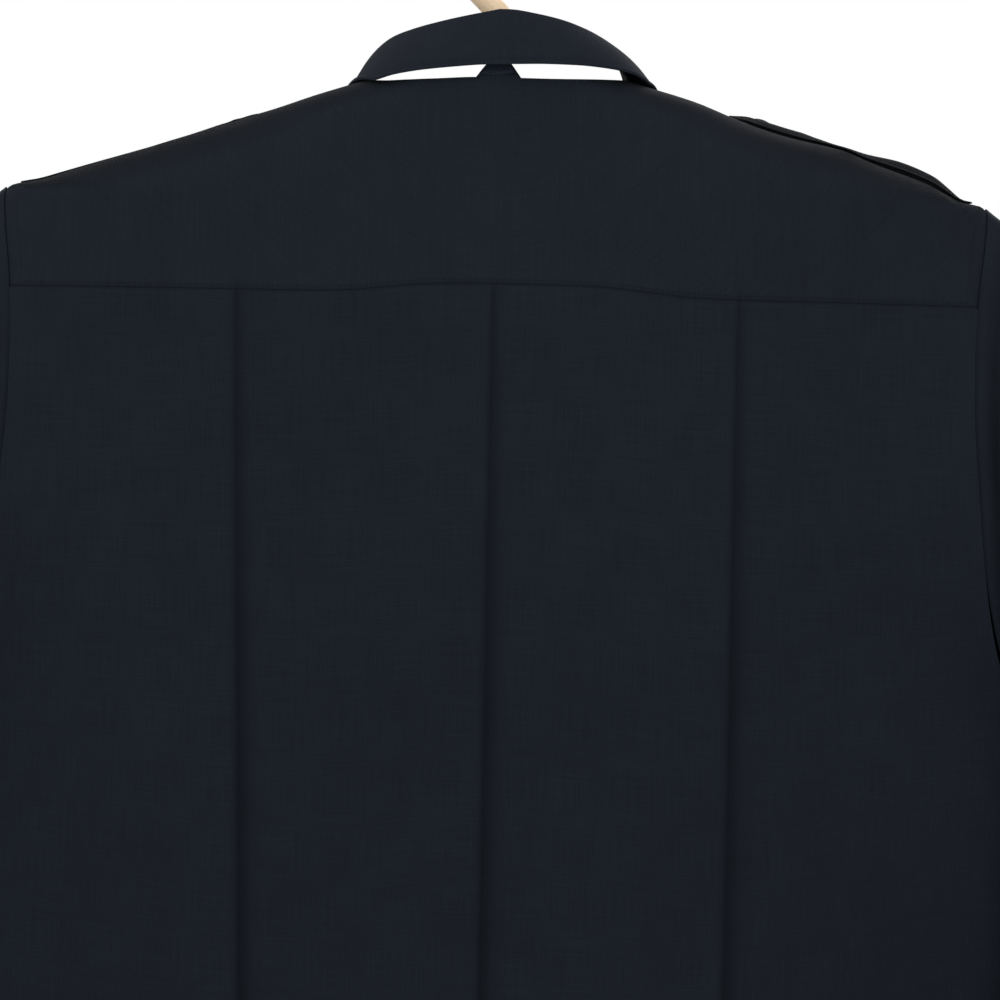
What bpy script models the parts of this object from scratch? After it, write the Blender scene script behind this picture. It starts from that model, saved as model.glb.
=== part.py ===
"""Long-sleeved police uniform shirt, buttoned, hanging on a plain hanger.

The cloth is modelled piece by piece, as a maker cuts it: yoke, back with three sewn creases, two fronts,
placket, collar, sleeves, cuffs, shoulder straps, chest pockets with flaps, and buttons. Every piece is a
thin wall. The torso pieces all lie on one surface, made of rings round the body at each height, and a
piece that lies on another is made from the same points, moved out.

Frame: the origin is the underside of the hook's crown, where a rail touches it. +Z is up, the front
faces -Y, and +X is the wearer's left. Tables are in millimetres and "drop" is the distance below the origin.
"""

import math

import bmesh
import bpy
import numpy as np
from mathutils import Vector

MM = 0.001

# Cloth and seams.
CLOTH = 1.5
SEAM_GAP = 0.35
COLLAR_WALL = 2.0
CUFF_WALL = 2.4
STRAP_WALL = 1.6
POCKET_WALL = 1.2
FLAP_WALL = 1.6
PLACKET_WALL = 1.3

# Heights of the main lines, as drops below the hook point.
NECK_SIDE_DROP = 82.5
SHOULDER_DROP = 143.0
YOKE_CORNER_DROP = 193.5
FRONT_CORNER_DROP = 166.0
FLAP_TOP_DROP = 262.0
UNDERARM_DROP = 403.0
POCKET_FOOT_DROP = 415.0
HEM_CENTRE_DROP = 886.0
HEM_SIDE_RISE = 72.0
SECTION_POWER = 2.2
SEAM_PEAK_X = -12.0
SEAM_PEAK_HALF_WIDTH = 72.0
SEAM_PEAK_RISE = 5.3
SHIFT_DROPS = (130.0, 190.0)

# Centre front.
LEFT_FRONT_EDGE = 17.7
UNDERLAP_EDGE = 17.2
PLACKET_SIDES = (-18.0, 22.0)

COLOURS = {
    "navy_cloth": ((0.0116, 0.0144, 0.0212, 1.0), 0.85, 0.0),
    "navy_button": ((0.008, 0.009, 0.013, 1.0), 0.35, 0.0),
    "hanger_beige": ((0.72, 0.56, 0.36, 1.0), 0.4, 0.0),
}


class Table:
    """A short table with named columns, read smoothly along its first column."""

    def __init__(self, names, rows):
        values = np.array(rows, float)
        self.key = values[:, 0]
        self.columns = {name: values[:, i] for i, name in enumerate(names)}

    def at(self, name, where):
        """The value of a column where the first column has the given value."""
        return monotone_cubic(self.key, self.columns[name], where)


def monotone_cubic(knots, values, where):
    """Cubic through the knots that doesn't overshoot them."""
    where = np.clip(np.asarray(where, float), knots[0], knots[-1])
    step = np.diff(knots)
    slope = np.diff(values) / step
    tangent = np.empty_like(values)
    tangent[0], tangent[-1] = slope[0], slope[-1]
    product = slope[:-1] * slope[1:]
    total = slope[:-1] + slope[1:]
    tangent[1:-1] = np.where(product > 0, 2 * product / np.where(total == 0, 1, total), 0)
    i = np.clip(np.searchsorted(knots, where, side="right") - 1, 0, len(step) - 1)
    h = step[i]
    t = (where - knots[i]) / h
    return (
        values[i] * (1 + 2 * t) * (1 - t) ** 2
        + tangent[i] * h * t * (1 - t) ** 2
        + values[i + 1] * t**2 * (3 - 2 * t)
        + tangent[i + 1] * h * t**2 * (t - 1)
    )


# Rings of the torso. Down to the shoulder point the half width is the shoulder slope itself.
TORSO = Table(
    ("drop", "half_width", "back_depth", "front_depth"),
    (
        (82.5, 70.0, 54.0, 57.0),
        (88.5, 90.0, 54.3, 57.2),
        (98.5, 120.0, 54.6, 57.5),
        (106.5, 140.0, 54.8, 57.6),
        (115.5, 166.0, 55.0, 57.7),
        (128.0, 204.0, 55.2, 57.8),
        (138.0, 235.0, 55.4, 57.9),
        (143.0, 250.0, 55.4, 57.9),
        (152.0, 253.6, 55.5, 58.0),
        (165.0, 261.0, 55.6, 57.9),
        (180.0, 271.0, 55.8, 57.6),
        (193.5, 281.0, 56.0, 57.4),
        (217.0, 300.0, 56.0, 57.0),
        (240.0, 317.0, 56.0, 56.6),
        (262.0, 329.0, 56.0, 56.2),
        (290.0, 336.0, 55.8, 55.8),
        (320.0, 326.0, 55.4, 55.4),
        (350.0, 300.0, 55.0, 55.0),
        (380.0, 277.0, 54.6, 54.6),
        (403.0, 272.0, 54.0, 54.0),
        (450.0, 269.0, 53.0, 52.5),
        (520.0, 265.0, 50.5, 50.0),
        (600.0, 262.0, 48.5, 48.0),
        (700.0, 265.0, 48.0, 47.0),
        (886.0, 272.0, 49.0, 47.5),
    ),
)

ARMHOLE = Table(
    ("drop", "back_x", "front_x"),
    (
        (143.0, 250.0, 250.0),
        (152.0, 249.5, 249.3),
        (166.0, 248.0, 247.5),
        (180.0, 246.0, 244.8),
        (193.5, 244.5, 242.5),
        (217.0, 243.0, 239.5),
        (240.0, 243.0, 238.0),
        (262.0, 244.0, 238.0),
        (290.0, 246.5, 240.0),
        (320.0, 249.5, 244.0),
        (350.0, 254.0, 250.0),
        (380.0, 262.0, 260.0),
        (403.0, 272.0, 272.0),
    ),
)

# How far the shoulders and the neckline hang above or below the even slope. It fades with the drop.
SHOULDER_SHIFT = Table(
    ("x", "rise"),
    (
        (-246.0, 0.0),
        (-238.0, -1.6),
        (-230.0, 0.4),
        (-221.0, 2.4),
        (-210.0, 3.0),
        (-190.0, 3.2),
        (-178.0, 4.4),
        (-169.0, 3.6),
        (-155.0, 1.6),
        (-141.0, 0.3),
        (-120.0, -0.8),
        (-100.0, 0.0),
        (-72.0, -0.6),
        (-60.0, 0.0),
        (10.0, 0.0),
        (33.0, -1.2),
        (46.0, -2.2),
        (58.0, -3.0),
        (90.0, -3.0),
        (112.0, -3.6),
        (128.0, -2.8),
        (145.0, -1.6),
        (200.0, -1.4),
        (230.0, -1.5),
        (246.0, 0.0),
    ),
)

# The neckline from centre back over the shoulder to centre front.
BACK_NECKLINE = ((0.0, 85.5), (20.0, 85.5), (40.0, 85.2), (55.0, 84.6), (64.0, 83.8), (70.0, 82.5))
FRONT_NECKLINE = (
    (69.5, 88.0), (65.0, 100.0), (56.0, 115.0), (43.0, 130.0), (28.0, 141.0), (12.0, 147.0), (0.0, 148.0),
)

# Sewn creases: the x of each on the back by drop, the x of the front pair, and their depth.
BACK_CREASES = Table(
    ("drop", "right", "centre", "left"),
    ((188.0, -123.0, 0.0, 129.0), (546.0, -124.0, -1.5, 119.5), (886.0, -124.0, -2.0, 114.0)),
)
FRONT_CREASE_X = 107.0
CREASE_DEPTH = Table(("drop", "depth"), ((185.0, 1.0), (300.0, 1.7), (600.0, 2.2), (886.0, 2.0)))
CREASE_SIDES = (1.2, 4.0)
CREASE_START_BACK = 187.0
CREASE_START_FRONT = 90.0

# Soft folds of the hanging cloth: side of the body, place at the top and bottom end, half width, depth.
FOLDS = (
    ("back", -222.0, -196.0, 395.0, 900.0, 20.0, 5.0),
    ("back", 226.0, 192.0, 400.0, 900.0, 22.0, 5.5),
    ("back", -60.0, -72.0, 560.0, 930.0, 26.0, 4.0),
    ("back", 62.0, 58.0, 600.0, 930.0, 24.0, 3.5),
    ("front", -220.0, -200.0, 410.0, 900.0, 22.0, 5.0),
    ("front", 218.0, 196.0, 420.0, 900.0, 20.0, 5.5),
    ("front", -66.0, -74.0, 500.0, 930.0, 24.0, 4.0),
    ("front", 70.0, 82.0, 540.0, 930.0, 26.0, 3.5),
)

# Half the collar, from centre back to its front end: where it is sewn on, its fold, and the fall's edge.
COLLAR = Table(
    (
        "place", "foot_run", "fold_x", "fold_y", "fold_drop_left", "fold_drop_right",
        "edge_x_left", "edge_x_right", "edge_y", "edge_drop_left", "edge_drop_right",
    ),
    (
        (0, 0.0, 0.0, 38.0, 49.5, 49.5, 0.0, 0.0, 62.0, 78.5, 78.5),
        (1, 10.5, 6.5, 37.9, 50.9, 49.6, 9.0, 9.0, 62.0, 79.0, 78.3),
        (2, 24.0, 18.0, 36.8, 53.3, 51.2, 24.0, 24.0, 60.5, 80.3, 77.8),
        (3, 40.0, 31.0, 33.5, 56.2, 53.7, 40.0, 40.0, 56.5, 81.9, 77.7),
        (4, 56.0, 43.0, 28.0, 59.2, 57.4, 53.5, 55.0, 49.0, 83.8, 78.2),
        (5, 71.0, 53.0, 20.0, 62.4, 61.8, 63.5, 66.5, 39.0, 86.4, 79.3),
        (6, 84.0, 60.0, 10.5, 66.8, 65.8, 70.0, 74.0, 26.0, 88.0, 81.5),
        (7, 97.0, 64.5, -0.5, 71.0, 70.2, 74.0, 78.5, 8.0, 88.0, 83.5),
        (8, 112.0, 67.0, -13.0, 75.0, 74.8, 77.5, 81.5, -10.0, 88.0, 84.5),
        (9, 125.0, 68.0, -25.0, 78.0, 78.0, 80.5, 83.5, -28.0, 89.0, 86.0),
        (10, 142.0, 66.0, -37.0, 81.0, 81.0, 81.0, 82.5, -47.0, 95.0, 94.0),
        (11, 160.0, 61.0, -47.0, 86.0, 86.0, 76.0, 76.0, -61.5, 113.0, 113.0),
        (12, 178.0, 52.0, -53.0, 95.0, 95.0, 69.0, 69.0, -64.5, 136.0, 136.0),
        (13, 196.0, 40.0, -56.5, 106.5, 106.5, 63.0, 63.0, -65.0, 157.0, 157.0),
        (14, 214.0, 27.0, -58.5, 116.0, 116.0, 58.0, 58.0, -65.3, 172.0, 172.0),
        (15, 230.0, 15.0, -59.5, 121.5, 121.5, 53.0, 53.0, -65.6, 182.0, 182.0),
        (16, 0.0, 8.0, -60.0, 124.0, 124.0, 48.0, 48.0, -66.0, 190.0, 190.0),
    ),
)
COLLAR_SEAM_GAP = 0.65
COLLAR_END = 1.6
COLLAR_REST = 0.8
COLLAR_REACH_X = 60.0
COLLAR_LEAST_RISE = 0.4
FALL_MIDDLE = 0.5
SHOULDER_SHARE = 0.97
FOLD_RADIUS = 2.6
FOLD_TURNS = tuple(math.radians(t) for t in (0, 50, 90, 130, 180))
FALL_BOW = 1.2
WINDOW_SHARE = 0.45
GAP_START = 1
GAP_END_LEFT = 6
GAP_END_RIGHT = 7
TAB_TOP_X = 3.5

# The hanging sleeve, and its long folds as place round the ring in degrees, half width and share drawn in.
SLEEVE = Table(
    ("drop", "centre_x", "half_width", "half_depth"),
    (
        (430.0, 326.0, 46.0, 53.0),
        (520.0, 324.0, 44.0, 50.0),
        (610.0, 321.0, 41.0, 46.5),
        (670.0, 319.0, 39.0, 44.0),
        (704.0, 318.0, 35.0, 39.5),
        (771.0, 316.0, 35.0, 39.5),
    ),
)
SLEEVE_DROPS = (430.0, 480.0, 540.0, 600.0, 655.0, 704.0)
SLEEVE_FOLDS = ((118.0, 22.0, 0.22), (242.0, 20.0, 0.18), (48.0, 24.0, 0.1), (318.0, 22.0, 0.08))
UNDERARM_START = 330.0
ARMHOLE_GAP = 0.55
CAP_BEND = (0.72, 0.6, 0.17)
CAP_SHARES = (0.0, 0.16, 0.38, 0.68)
CUFF_DROPS = (704.6, 738.0, 771.0)
CUFF_HALF_WIDTH = 36.0
CUFF_HALF_DEPTH = 40.5
CUFF_OPENING = 100.0
CUFF_SLIT = 0.016
CUFF_BUTTON_TURN = 12.0

# Shoulder strap along its length from the pointed end to the sleeve seam.
STRAP = Table(
    (
        "x", "middle_y_left", "middle_y_right", "half_width_left", "half_width_right", "lift_left", "lift_right",
    ),
    (
        (118.0, -15.0, -13.0, 1.5, 1.5, 0.3, 0.0),
        (128.0, -17.0, -13.5, 12.5, 14.5, 0.5, 0.9),
        (142.0, -19.0, -14.0, 13.5, 16.0, 0.2, 1.6),
        (154.0, -20.0, -14.5, 14.0, 16.5, 0.0, 1.7),
        (164.0, -20.0, -14.5, 14.0, 17.0, 0.0, 0.5),
        (175.0, -19.5, -14.5, 14.0, 17.0, 0.0, 0.0),
        (190.0, -18.0, -13.5, 14.0, 17.0, 0.0, 2.4),
        (206.0, -15.0, -11.5, 14.0, 16.5, 0.0, 3.6),
        (220.0, -12.5, -10.5, 13.5, 15.5, 0.2, 2.8),
        (234.0, -11.0, -9.5, 12.5, 13.5, 0.8, 1.0),
        (244.0, -10.0, -8.0, 10.5, 11.0, 0.9, 0.6),
    ),
)
STRAP_GAP = 0.6
STRAP_COLUMNS = 7
STRAP_BUTTON_X = 134.0

# The shoulder as seen from above, for what lies on it.
RIDGE_FOOT_DROP = 280.0
RIDGE_DEPTH_BACK = 55.2
RIDGE_DEPTH_FRONT = 57.8
RIDGE_SAMPLES = 400

# Buttons.
BUTTON_RADIUS = 5.8
BUTTON_DEPTH = 2.4
BUTTON_TAPER = 0.92
BUTTON_SIDES = 12
FRONT_BUTTON_DROPS = (196.0, 286.0, 376.0, 466.0, 556.0, 646.0, 736.0)

# Hanger and hook.
HANGER_REACH = 208.0
HANGER_HALF_HEIGHT = 7.0
HANGER_HALF_DEPTH = 6.0
HANGER_CLEAR = 0.9
HANGER_NECK_DROP = 84.0
HOOK_ROD = 12.0
HOOK_INNER = 16.0
HOOK_TIP_TURN = 205.0
HOOK_BEND = 3.0
HANGER_SADDLE = 2.0
HANGER_MARGIN = 5.0
HANGER_INNER_X = 70.0
HANGER_END_CLEAR = 1.5
HANGER_END_POWER = 14
HANGER_END_LEAST = 0.05
HOOK_STEM_GAP = 0.2
HOOK_TIP_SHARE = 0.6
HOOK_BEND_STEPS = (0.6, 1.4)
BAR_SIDES = 10


def shift_fade(drop):
    """How much of the shoulder's shift is left at a drop, from 1 to 0."""
    top, foot = SHIFT_DROPS
    share = np.clip((np.asarray(drop, float) - top) / (foot - top), 0, 1)
    return 1 - share * share * (3 - 2 * share)


def section(angle, drop):
    """A point of the torso surface. The angle is 0 at centre back and 90 degrees at the left side."""
    across = np.sin(angle)
    half_width = TORSO.at("half_width", drop)
    fade = shift_fade(drop)
    behind = np.cos(angle) >= 0
    depth = np.where(behind, TORSO.at("back_depth", drop), -TORSO.at("front_depth", drop))
    rest = np.clip(1 - np.abs(across) ** SECTION_POWER, 0, 1)
    y = depth * rest ** (1 / SECTION_POWER)
    x = half_width * across
    return np.stack([x, y, SHOULDER_SHIFT.at("rise", x) * fade - drop], -1)


def section_normal(angle, drop):
    """The outward direction of the torso surface, without its folds."""
    turn, lower = 0.02, 0.6
    along_ring = section(angle + turn, drop) - section(angle - turn, drop)
    down = section(angle, drop + lower) - section(angle, drop - lower)
    normal = np.cross(down, along_ring)
    return -normal / np.linalg.norm(normal, axis=-1, keepdims=True)


def relief(x, drop, behind):
    """How far folds and creases move the cloth, outwards above zero."""
    moved = np.zeros_like(x)
    for side, top_x, foot_x, top, foot, half_width, depth in FOLDS:
        share = np.clip((drop - top) / (foot - top), 0, 1)
        middle = top_x + (foot_x - top_x) * share
        swell = np.sin(np.clip(share * 1.15, 0, 1) * math.pi / 2)
        fold = -depth * swell * np.exp(-(((x - middle) / half_width) ** 2))
        moved += np.where(behind == (side == "back"), fold, 0)
    flat, edge = CREASE_SIDES
    depth = CREASE_DEPTH.at("depth", drop)
    lines = [(BACK_CREASES.at(name, drop), True) for name in ("right", "centre", "left")]
    lines += [(np.full_like(x, side * FRONT_CREASE_X), False) for side in (-1, 1)]
    for line, on_back in lines:
        groove = -depth * np.clip((edge - np.abs(x - line)) / (edge - flat), 0, 1)
        below_yoke = drop > (CREASE_START_BACK if on_back else CREASE_START_FRONT)
        moved += np.where((behind == on_back) & below_yoke, groove, 0)
    return moved


def cloth(angle, drop, lift, creased=True):
    """Points of the cloth at a height above the inner face of the torso's wall."""
    angle, drop = np.broadcast_arrays(np.asarray(angle, float), np.asarray(drop, float))
    base = section(angle, drop)
    height = np.full(angle.shape, float(lift))
    if creased:
        height += relief(base[..., 0], drop, np.cos(angle) >= 0)
    return base + section_normal(angle, drop) * height[..., None]


def angle_at(x, drop, behind):
    """The ring angle of the point at x."""
    ratio = np.clip(np.asarray(x, float) / TORSO.at("half_width", drop), -1, 1)
    back = np.arcsin(ratio)
    return back if behind else np.where(ratio >= 0, math.pi - back, -math.pi - back)


def yoke_seam(x):
    """Drop of the seam between the yoke and the back, higher over a flat stretch right of centre."""
    place = (np.asarray(x) - SEAM_PEAK_X) / SEAM_PEAK_HALF_WIDTH
    return YOKE_CORNER_DROP - SEAM_PEAK_RISE * np.exp(-(place**4))


def hem_drop(angle):
    """Drop of the curved shirt-tail hem."""
    return HEM_CENTRE_DROP - HEM_SIDE_RISE * np.abs(np.sin(angle)) ** 3.5


def neckline():
    """Length run so far, angle and drop of points on the half neckline, from centre back to centre front."""
    angles, drops = [], []
    for points, behind in ((BACK_NECKLINE, True), (FRONT_NECKLINE, False)):
        for x, drop in points:
            angles.append(float(angle_at(x, drop, behind)) if x else (0.0 if behind else math.pi))
            drops.append(drop)
    angles, drops = np.array(angles), np.array(drops)
    points = section(angles, drops)
    run = np.concatenate([[0], np.cumsum(np.linalg.norm(np.diff(points, axis=0), axis=1))])
    return run, angles, drops


NECK_RUN, NECK_ANGLES, NECK_DROPS = neckline()
FRONT_NECK_CORNER = len(BACK_NECKLINE)


def neck_point(run):
    """Angle and drop on the neckline at a length from centre back."""
    return monotone_cubic(NECK_RUN, NECK_ANGLES, run), monotone_cubic(NECK_RUN, NECK_DROPS, run)


def front_yoke_seam(share):
    """Angle and drop on the seam between the yoke and a front, from the neck at 0 to the armhole at 1."""
    start = NECK_ANGLES[FRONT_NECK_CORNER], NECK_DROPS[FRONT_NECK_CORNER]
    end_angle = float(angle_at(ARMHOLE.at("front_x", FRONT_CORNER_DROP), FRONT_CORNER_DROP, False))
    return start[0] + (end_angle - start[0]) * share, start[1] + (FRONT_CORNER_DROP - start[1]) * share


def material(name):
    """The named material, made the first time that it is asked for."""
    if name not in bpy.data.materials:
        made = bpy.data.materials.new(name)
        made.use_nodes = True
        shader = made.node_tree.nodes["Principled BSDF"]
        colour, roughness, metallic = COLOURS[name]
        shader.inputs["Base Color"].default_value = colour
        shader.inputs["Roughness"].default_value = roughness
        shader.inputs["Metallic"].default_value = metallic
    return bpy.data.materials[name]


def add_object(name, points, faces, finish):
    """A named mesh object from points in millimetres."""
    mesh = bpy.data.meshes.new(name)
    mesh.from_pydata((np.asarray(points) * MM).tolist(), [], [tuple(f) for f in faces])
    shape = bmesh.new()
    shape.from_mesh(mesh)
    bmesh.ops.remove_doubles(shape, verts=shape.verts, dist=1e-6)
    bmesh.ops.recalc_face_normals(shape, faces=shape.faces)
    shape.to_mesh(mesh)
    shape.free()
    mesh.shade_smooth()
    mesh.set_sharp_from_angle(angle=math.radians(40))
    mesh.materials.append(material(finish))
    made = bpy.data.objects.new(name, mesh)
    bpy.context.scene.collection.objects.link(made)
    return made


def cells(rows, columns, around, kept=None):
    """Corner indices of a grid's cells, each as two triangles cut along the same diagonal."""
    i, j = np.meshgrid(np.arange(rows - 1), np.arange(columns if around else columns - 1), indexing="ij")
    i, j = i.ravel(), j.ravel()
    if kept is not None:
        i, j = i[kept.ravel()], j[kept.ravel()]
    after = (j + 1) % columns
    a, b, c, d = i * columns + j, i * columns + after, (i + 1) * columns + after, (i + 1) * columns + j
    return np.concatenate([np.stack([a, b, c], 1), np.stack([a, c, d], 1)])


def open_edges(skin):
    """The edges that only one triangle uses, each in that triangle's direction."""
    directed = np.concatenate([skin[:, [0, 1]], skin[:, [1, 2]], skin[:, [2, 0]]])
    used = {tuple(edge) for edge in directed.tolist()}
    return [edge for edge in used if (edge[1], edge[0]) not in used]


def wall(name, inner, outer, around=False, kept=None):
    """A closed wall of cloth between two grids of points."""
    rows, columns = inner.shape[:2]
    count = rows * columns
    skin = cells(rows, columns, around, kept)
    faces = [tuple(f) for f in (skin + count).tolist()] + [tuple(f[::-1]) for f in skin.tolist()]
    for a, b in sorted(open_edges(skin)):
        faces += [(a, b, b + count), (a, b + count, a + count)]
    points = np.concatenate([inner.reshape(-1, 3), outer.reshape(-1, 3)])
    used = np.unique(np.array(faces))
    place = np.zeros(len(points), int)
    place[used] = np.arange(len(used))
    return add_object(name, points[used], place[np.array(faces)].tolist(), "navy_cloth")


def grid_normals(points, around=False):
    """Outward unit normals of a grid, from the differences between its neighbours."""
    down = np.gradient(points, axis=0)
    if around:
        along = np.roll(points, -1, 1) - np.roll(points, 1, 1)
    else:
        along = np.gradient(points, axis=1)
    normal = np.cross(down, along)
    return normal / np.linalg.norm(normal, axis=-1, keepdims=True)


def torso_wall(name, angle, drop, low=0.0, high=CLOTH):
    """A panel of the torso, between two heights above the inner face."""
    return wall(name, cloth(angle, drop, low), cloth(angle, drop, high))


# Rows and columns of the panels, shared by the pieces that meet.
BACK_ARM_DROPS = (193.5, 217.0, 240.0, 262.0, 290.0, 320.0, 350.0, 380.0, 403.0)
YOKE_ARM_DROPS = (193.5, 180.0, 166.0, 153.0, 143.0)
YOKE_FRONT_DROPS = (154.0, 166.0)
FRONT_ARM_DROPS = (166.0, 185.0, 204.0, 223.0, 243.0, 262.0, 290.0, 320.0, 350.0, 380.0, 403.0)
FRONT_COLUMNS = (31.0, 45.0, 57.0, 69.5, 86.0, 103.0, 105.8, 108.2, 111.0, 130.0, 150.0, 170.0)
POCKET_COLUMNS = (45.0, 170.0)
POCKET_DROPS = (266.0, 290.0, 320.0, 350.0, 380.0, 415.0)
FLAP_DROPS = (259.0, 290.0, 320.0)
FLAP_BUTTON_DROP = 309.0
POCKET_CORNER = 12.0
POCKET_CORNER_START = 0.62
FLAP_POINT = 14.0
PLACKET_TOP_INSET = 1.0
UNDERLAP_COLUMNS = (-6.0, 6.0)
SEAM_SAMPLES = 60
NECK_END_MARGIN = 0.1
SKIRT_SHARES = (0.08, 0.2, 0.34, 0.5, 0.67, 0.84, 1.0)
YOKE_COLUMNS = (0.0, 20.0, 42.0, 66.0, 92.0, 118.0, 144.0, 170.0, 194.0, 220.0)
YOKE_ROWS = 12
BACK_COLUMNS = (0.19, 0.36, 0.53, 0.7, 0.86)
OUTER_COLUMNS = 5


def yoke_half(side):
    """Angles and drops of one half of the yoke, in columns out from the neckline to the seam or armhole."""
    seam_x = np.array(YOKE_COLUMNS)
    seam_drop = yoke_seam(side * seam_x)
    arm_back = np.array(YOKE_ARM_DROPS)
    arm_front = np.array(YOKE_FRONT_DROPS)
    out_angle = np.concatenate([
        angle_at(seam_x, seam_drop, True),
        angle_at(ARMHOLE.at("back_x", arm_back), arm_back, True),
        angle_at(ARMHOLE.at("front_x", arm_front), arm_front, False),
    ])
    out_drop = np.concatenate([seam_drop, arm_back, arm_front])
    side_run, corner_run = NECK_RUN[FRONT_NECK_CORNER - 1 : FRONT_NECK_CORNER + 1]
    ridge = len(seam_x) + len(arm_back) - 1
    run = np.concatenate([
        side_run * np.linspace(0, 1, ridge + 1),
        side_run + (corner_run - side_run) * np.arange(1, len(arm_front) + 1) / len(arm_front),
    ])
    in_angle, in_drop = neck_point(run)
    share = np.linspace(0, 1, YOKE_ROWS)[:, None]
    return side * (in_angle + (out_angle - in_angle) * share), in_drop + (out_drop - in_drop) * share


def yoke():
    """Back yoke over the shoulders, as far as its seams with the back and the fronts."""
    halves = [np.array(yoke_half(side)) for side in (-1, 1)]
    angle, drop = np.concatenate([halves[0][..., :0:-1], halves[1]], -1)
    torso_wall("yoke", angle, drop)


def skirt_angles(drop, inner_x, behind):
    """Ring angles from the last inner column out to the side seam or armhole, at one height."""
    edge_name = "back_x" if behind else "front_x"
    edge_x = ARMHOLE.at(edge_name, drop) if drop < UNDERARM_DROP else TORSO.at("half_width", drop)
    start = float(angle_at(inner_x, drop, behind))
    end = float(angle_at(edge_x, drop, behind))
    return start + (end - start) * np.linspace(0, 1, OUTER_COLUMNS + 2)[1:]


def back():
    """Back panel with its three sewn creases."""
    flat, edge = CREASE_SIDES
    low_corner = HEM_CENTRE_DROP - HEM_SIDE_RISE * 0.5
    levels = [(d, (d - YOKE_CORNER_DROP) / (UNDERARM_DROP - YOKE_CORNER_DROP), None) for d in BACK_ARM_DROPS]
    levels += [(None, None, share) for share in SKIRT_SHARES]
    angles, drops = [], []
    for level, upper, lower in levels:
        nominal = level if level else UNDERARM_DROP + (low_corner - UNDERARM_DROP) * lower
        halves = []
        for side, name in ((-1, "right"), (1, "left")):
            line = abs(float(BACK_CREASES.at(name, nominal)))
            middle = float(BACK_CREASES.at("centre", nominal)) * side
            inner = [middle + flat, middle + edge]
            inner += [line * share for share in BACK_COLUMNS]
            inner += [line - edge, line - flat, line + flat, line + edge]
            inner_angles = angle_at(np.array(inner), nominal, True)
            halves.append(np.concatenate([inner_angles, skirt_angles(nominal, inner[-1], True)]))
        angle = np.concatenate([-halves[0][::-1], halves[1]])
        x = TORSO.at("half_width", nominal) * np.sin(angle)
        seam = yoke_seam(x) + SEAM_GAP
        if level:
            drop = seam + (UNDERARM_DROP - seam) * upper
        else:
            drop = UNDERARM_DROP + (hem_drop(angle) - UNDERARM_DROP) * lower
        angles.append(angle)
        drops.append(drop)
    torso_wall("back", np.array(angles), np.array(drops))


def front_top(x):
    """Drop of a front's upper edge: the neckline, then the seam with the yoke."""
    points = np.array(FRONT_NECKLINE[::-1])
    neck = monotone_cubic(points[:, 0], points[:, 1], x)
    seam_angle, seam_drop = front_yoke_seam(np.linspace(0, 1, SEAM_SAMPLES))
    seam_x = TORSO.at("half_width", seam_drop) * np.sin(seam_angle)
    seam = np.interp(x, seam_x, seam_drop) + 2 * SEAM_GAP
    return np.where(np.asarray(x) < points[-1, 0] - NECK_END_MARGIN, neck, seam)


def front_grid(inner_x):
    """Angles and drops of a front, from its inner columns to the armhole and side seam."""
    inner_x = np.array(inner_x)
    arm_top = float(ARMHOLE.at("front_x", FRONT_CORNER_DROP))
    outer_x = inner_x[-1] + (arm_top - inner_x[-1]) * np.linspace(0, 1, OUTER_COLUMNS + 2)[1:]
    top_x = np.concatenate([inner_x, outer_x])
    top_drop = front_top(np.abs(top_x))
    top_drop[-1] = FRONT_CORNER_DROP + SEAM_GAP
    angles, drops = [], []
    for level in FRONT_ARM_DROPS:
        share = min(1.0, (level - FRONT_CORNER_DROP) / (FLAP_TOP_DROP - FRONT_CORNER_DROP))
        drop = top_drop + (FLAP_TOP_DROP - top_drop) * share if share < 1 else np.full(len(top_x), level)
        aim = max(level, FLAP_TOP_DROP)
        aim_x = TORSO.at("half_width", aim) * np.sin(skirt_angles(aim, inner_x[-1], False))
        x = np.concatenate([inner_x, outer_x + (aim_x - outer_x) * share])
        x[-1] = ARMHOLE.at("front_x", drop[-1])
        angles.append(angle_at(x, drop, False))
        drops.append(drop)
    for share in SKIRT_SHARES:
        nominal = UNDERARM_DROP + (HEM_CENTRE_DROP - HEM_SIDE_RISE * 0.5 - UNDERARM_DROP) * share
        if share == SKIRT_SHARES[0]:
            nominal = POCKET_FOOT_DROP
        angle = np.concatenate([angle_at(inner_x, nominal, False), skirt_angles(nominal, inner_x[-1], False)])
        drop = UNDERARM_DROP + (hem_drop(angle) - UNDERARM_DROP) * share
        if share == SKIRT_SHARES[0]:
            drop = np.full(len(angle), nominal)
        angles.append(angle)
        drops.append(drop)
    return np.array(angles), np.array(drops)


def mirrored(angle, drop):
    """The same grid on the wearer's right."""
    return -angle[:, ::-1], drop[:, ::-1]


def fronts():
    """Left and right fronts. The right one runs on under the placket."""
    left = front_grid((LEFT_FRONT_EDGE, *FRONT_COLUMNS))
    torso_wall("front_left", *left)
    underlap = (-UNDERLAP_EDGE, *UNDERLAP_COLUMNS, LEFT_FRONT_EDGE)
    angle, drop = front_grid((*underlap, *FRONT_COLUMNS))
    turned = np.where(angle < 0, angle + 2 * math.pi, angle)
    torso_wall("front_right", -turned[:, ::-1], drop[:, ::-1])
    return left


def placket(left):
    """Button band over the meeting edges of the fronts."""
    x = np.linspace(*PLACKET_SIDES, 5)
    rows = left[1][:, 0]
    drop = np.repeat(rows[:, None], len(x), 1)
    drop[0] = front_top(np.abs(x)) + PLACKET_TOP_INSET
    drop[-1] = hem_drop(angle_at(np.abs(x), HEM_CENTRE_DROP, False))
    angle = np.array([math.pi - np.arcsin(x / TORSO.at("half_width", d)) for d in drop])
    low = CLOTH + SEAM_GAP
    torso_wall("placket", angle, drop, low, low + PLACKET_WALL)


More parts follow.
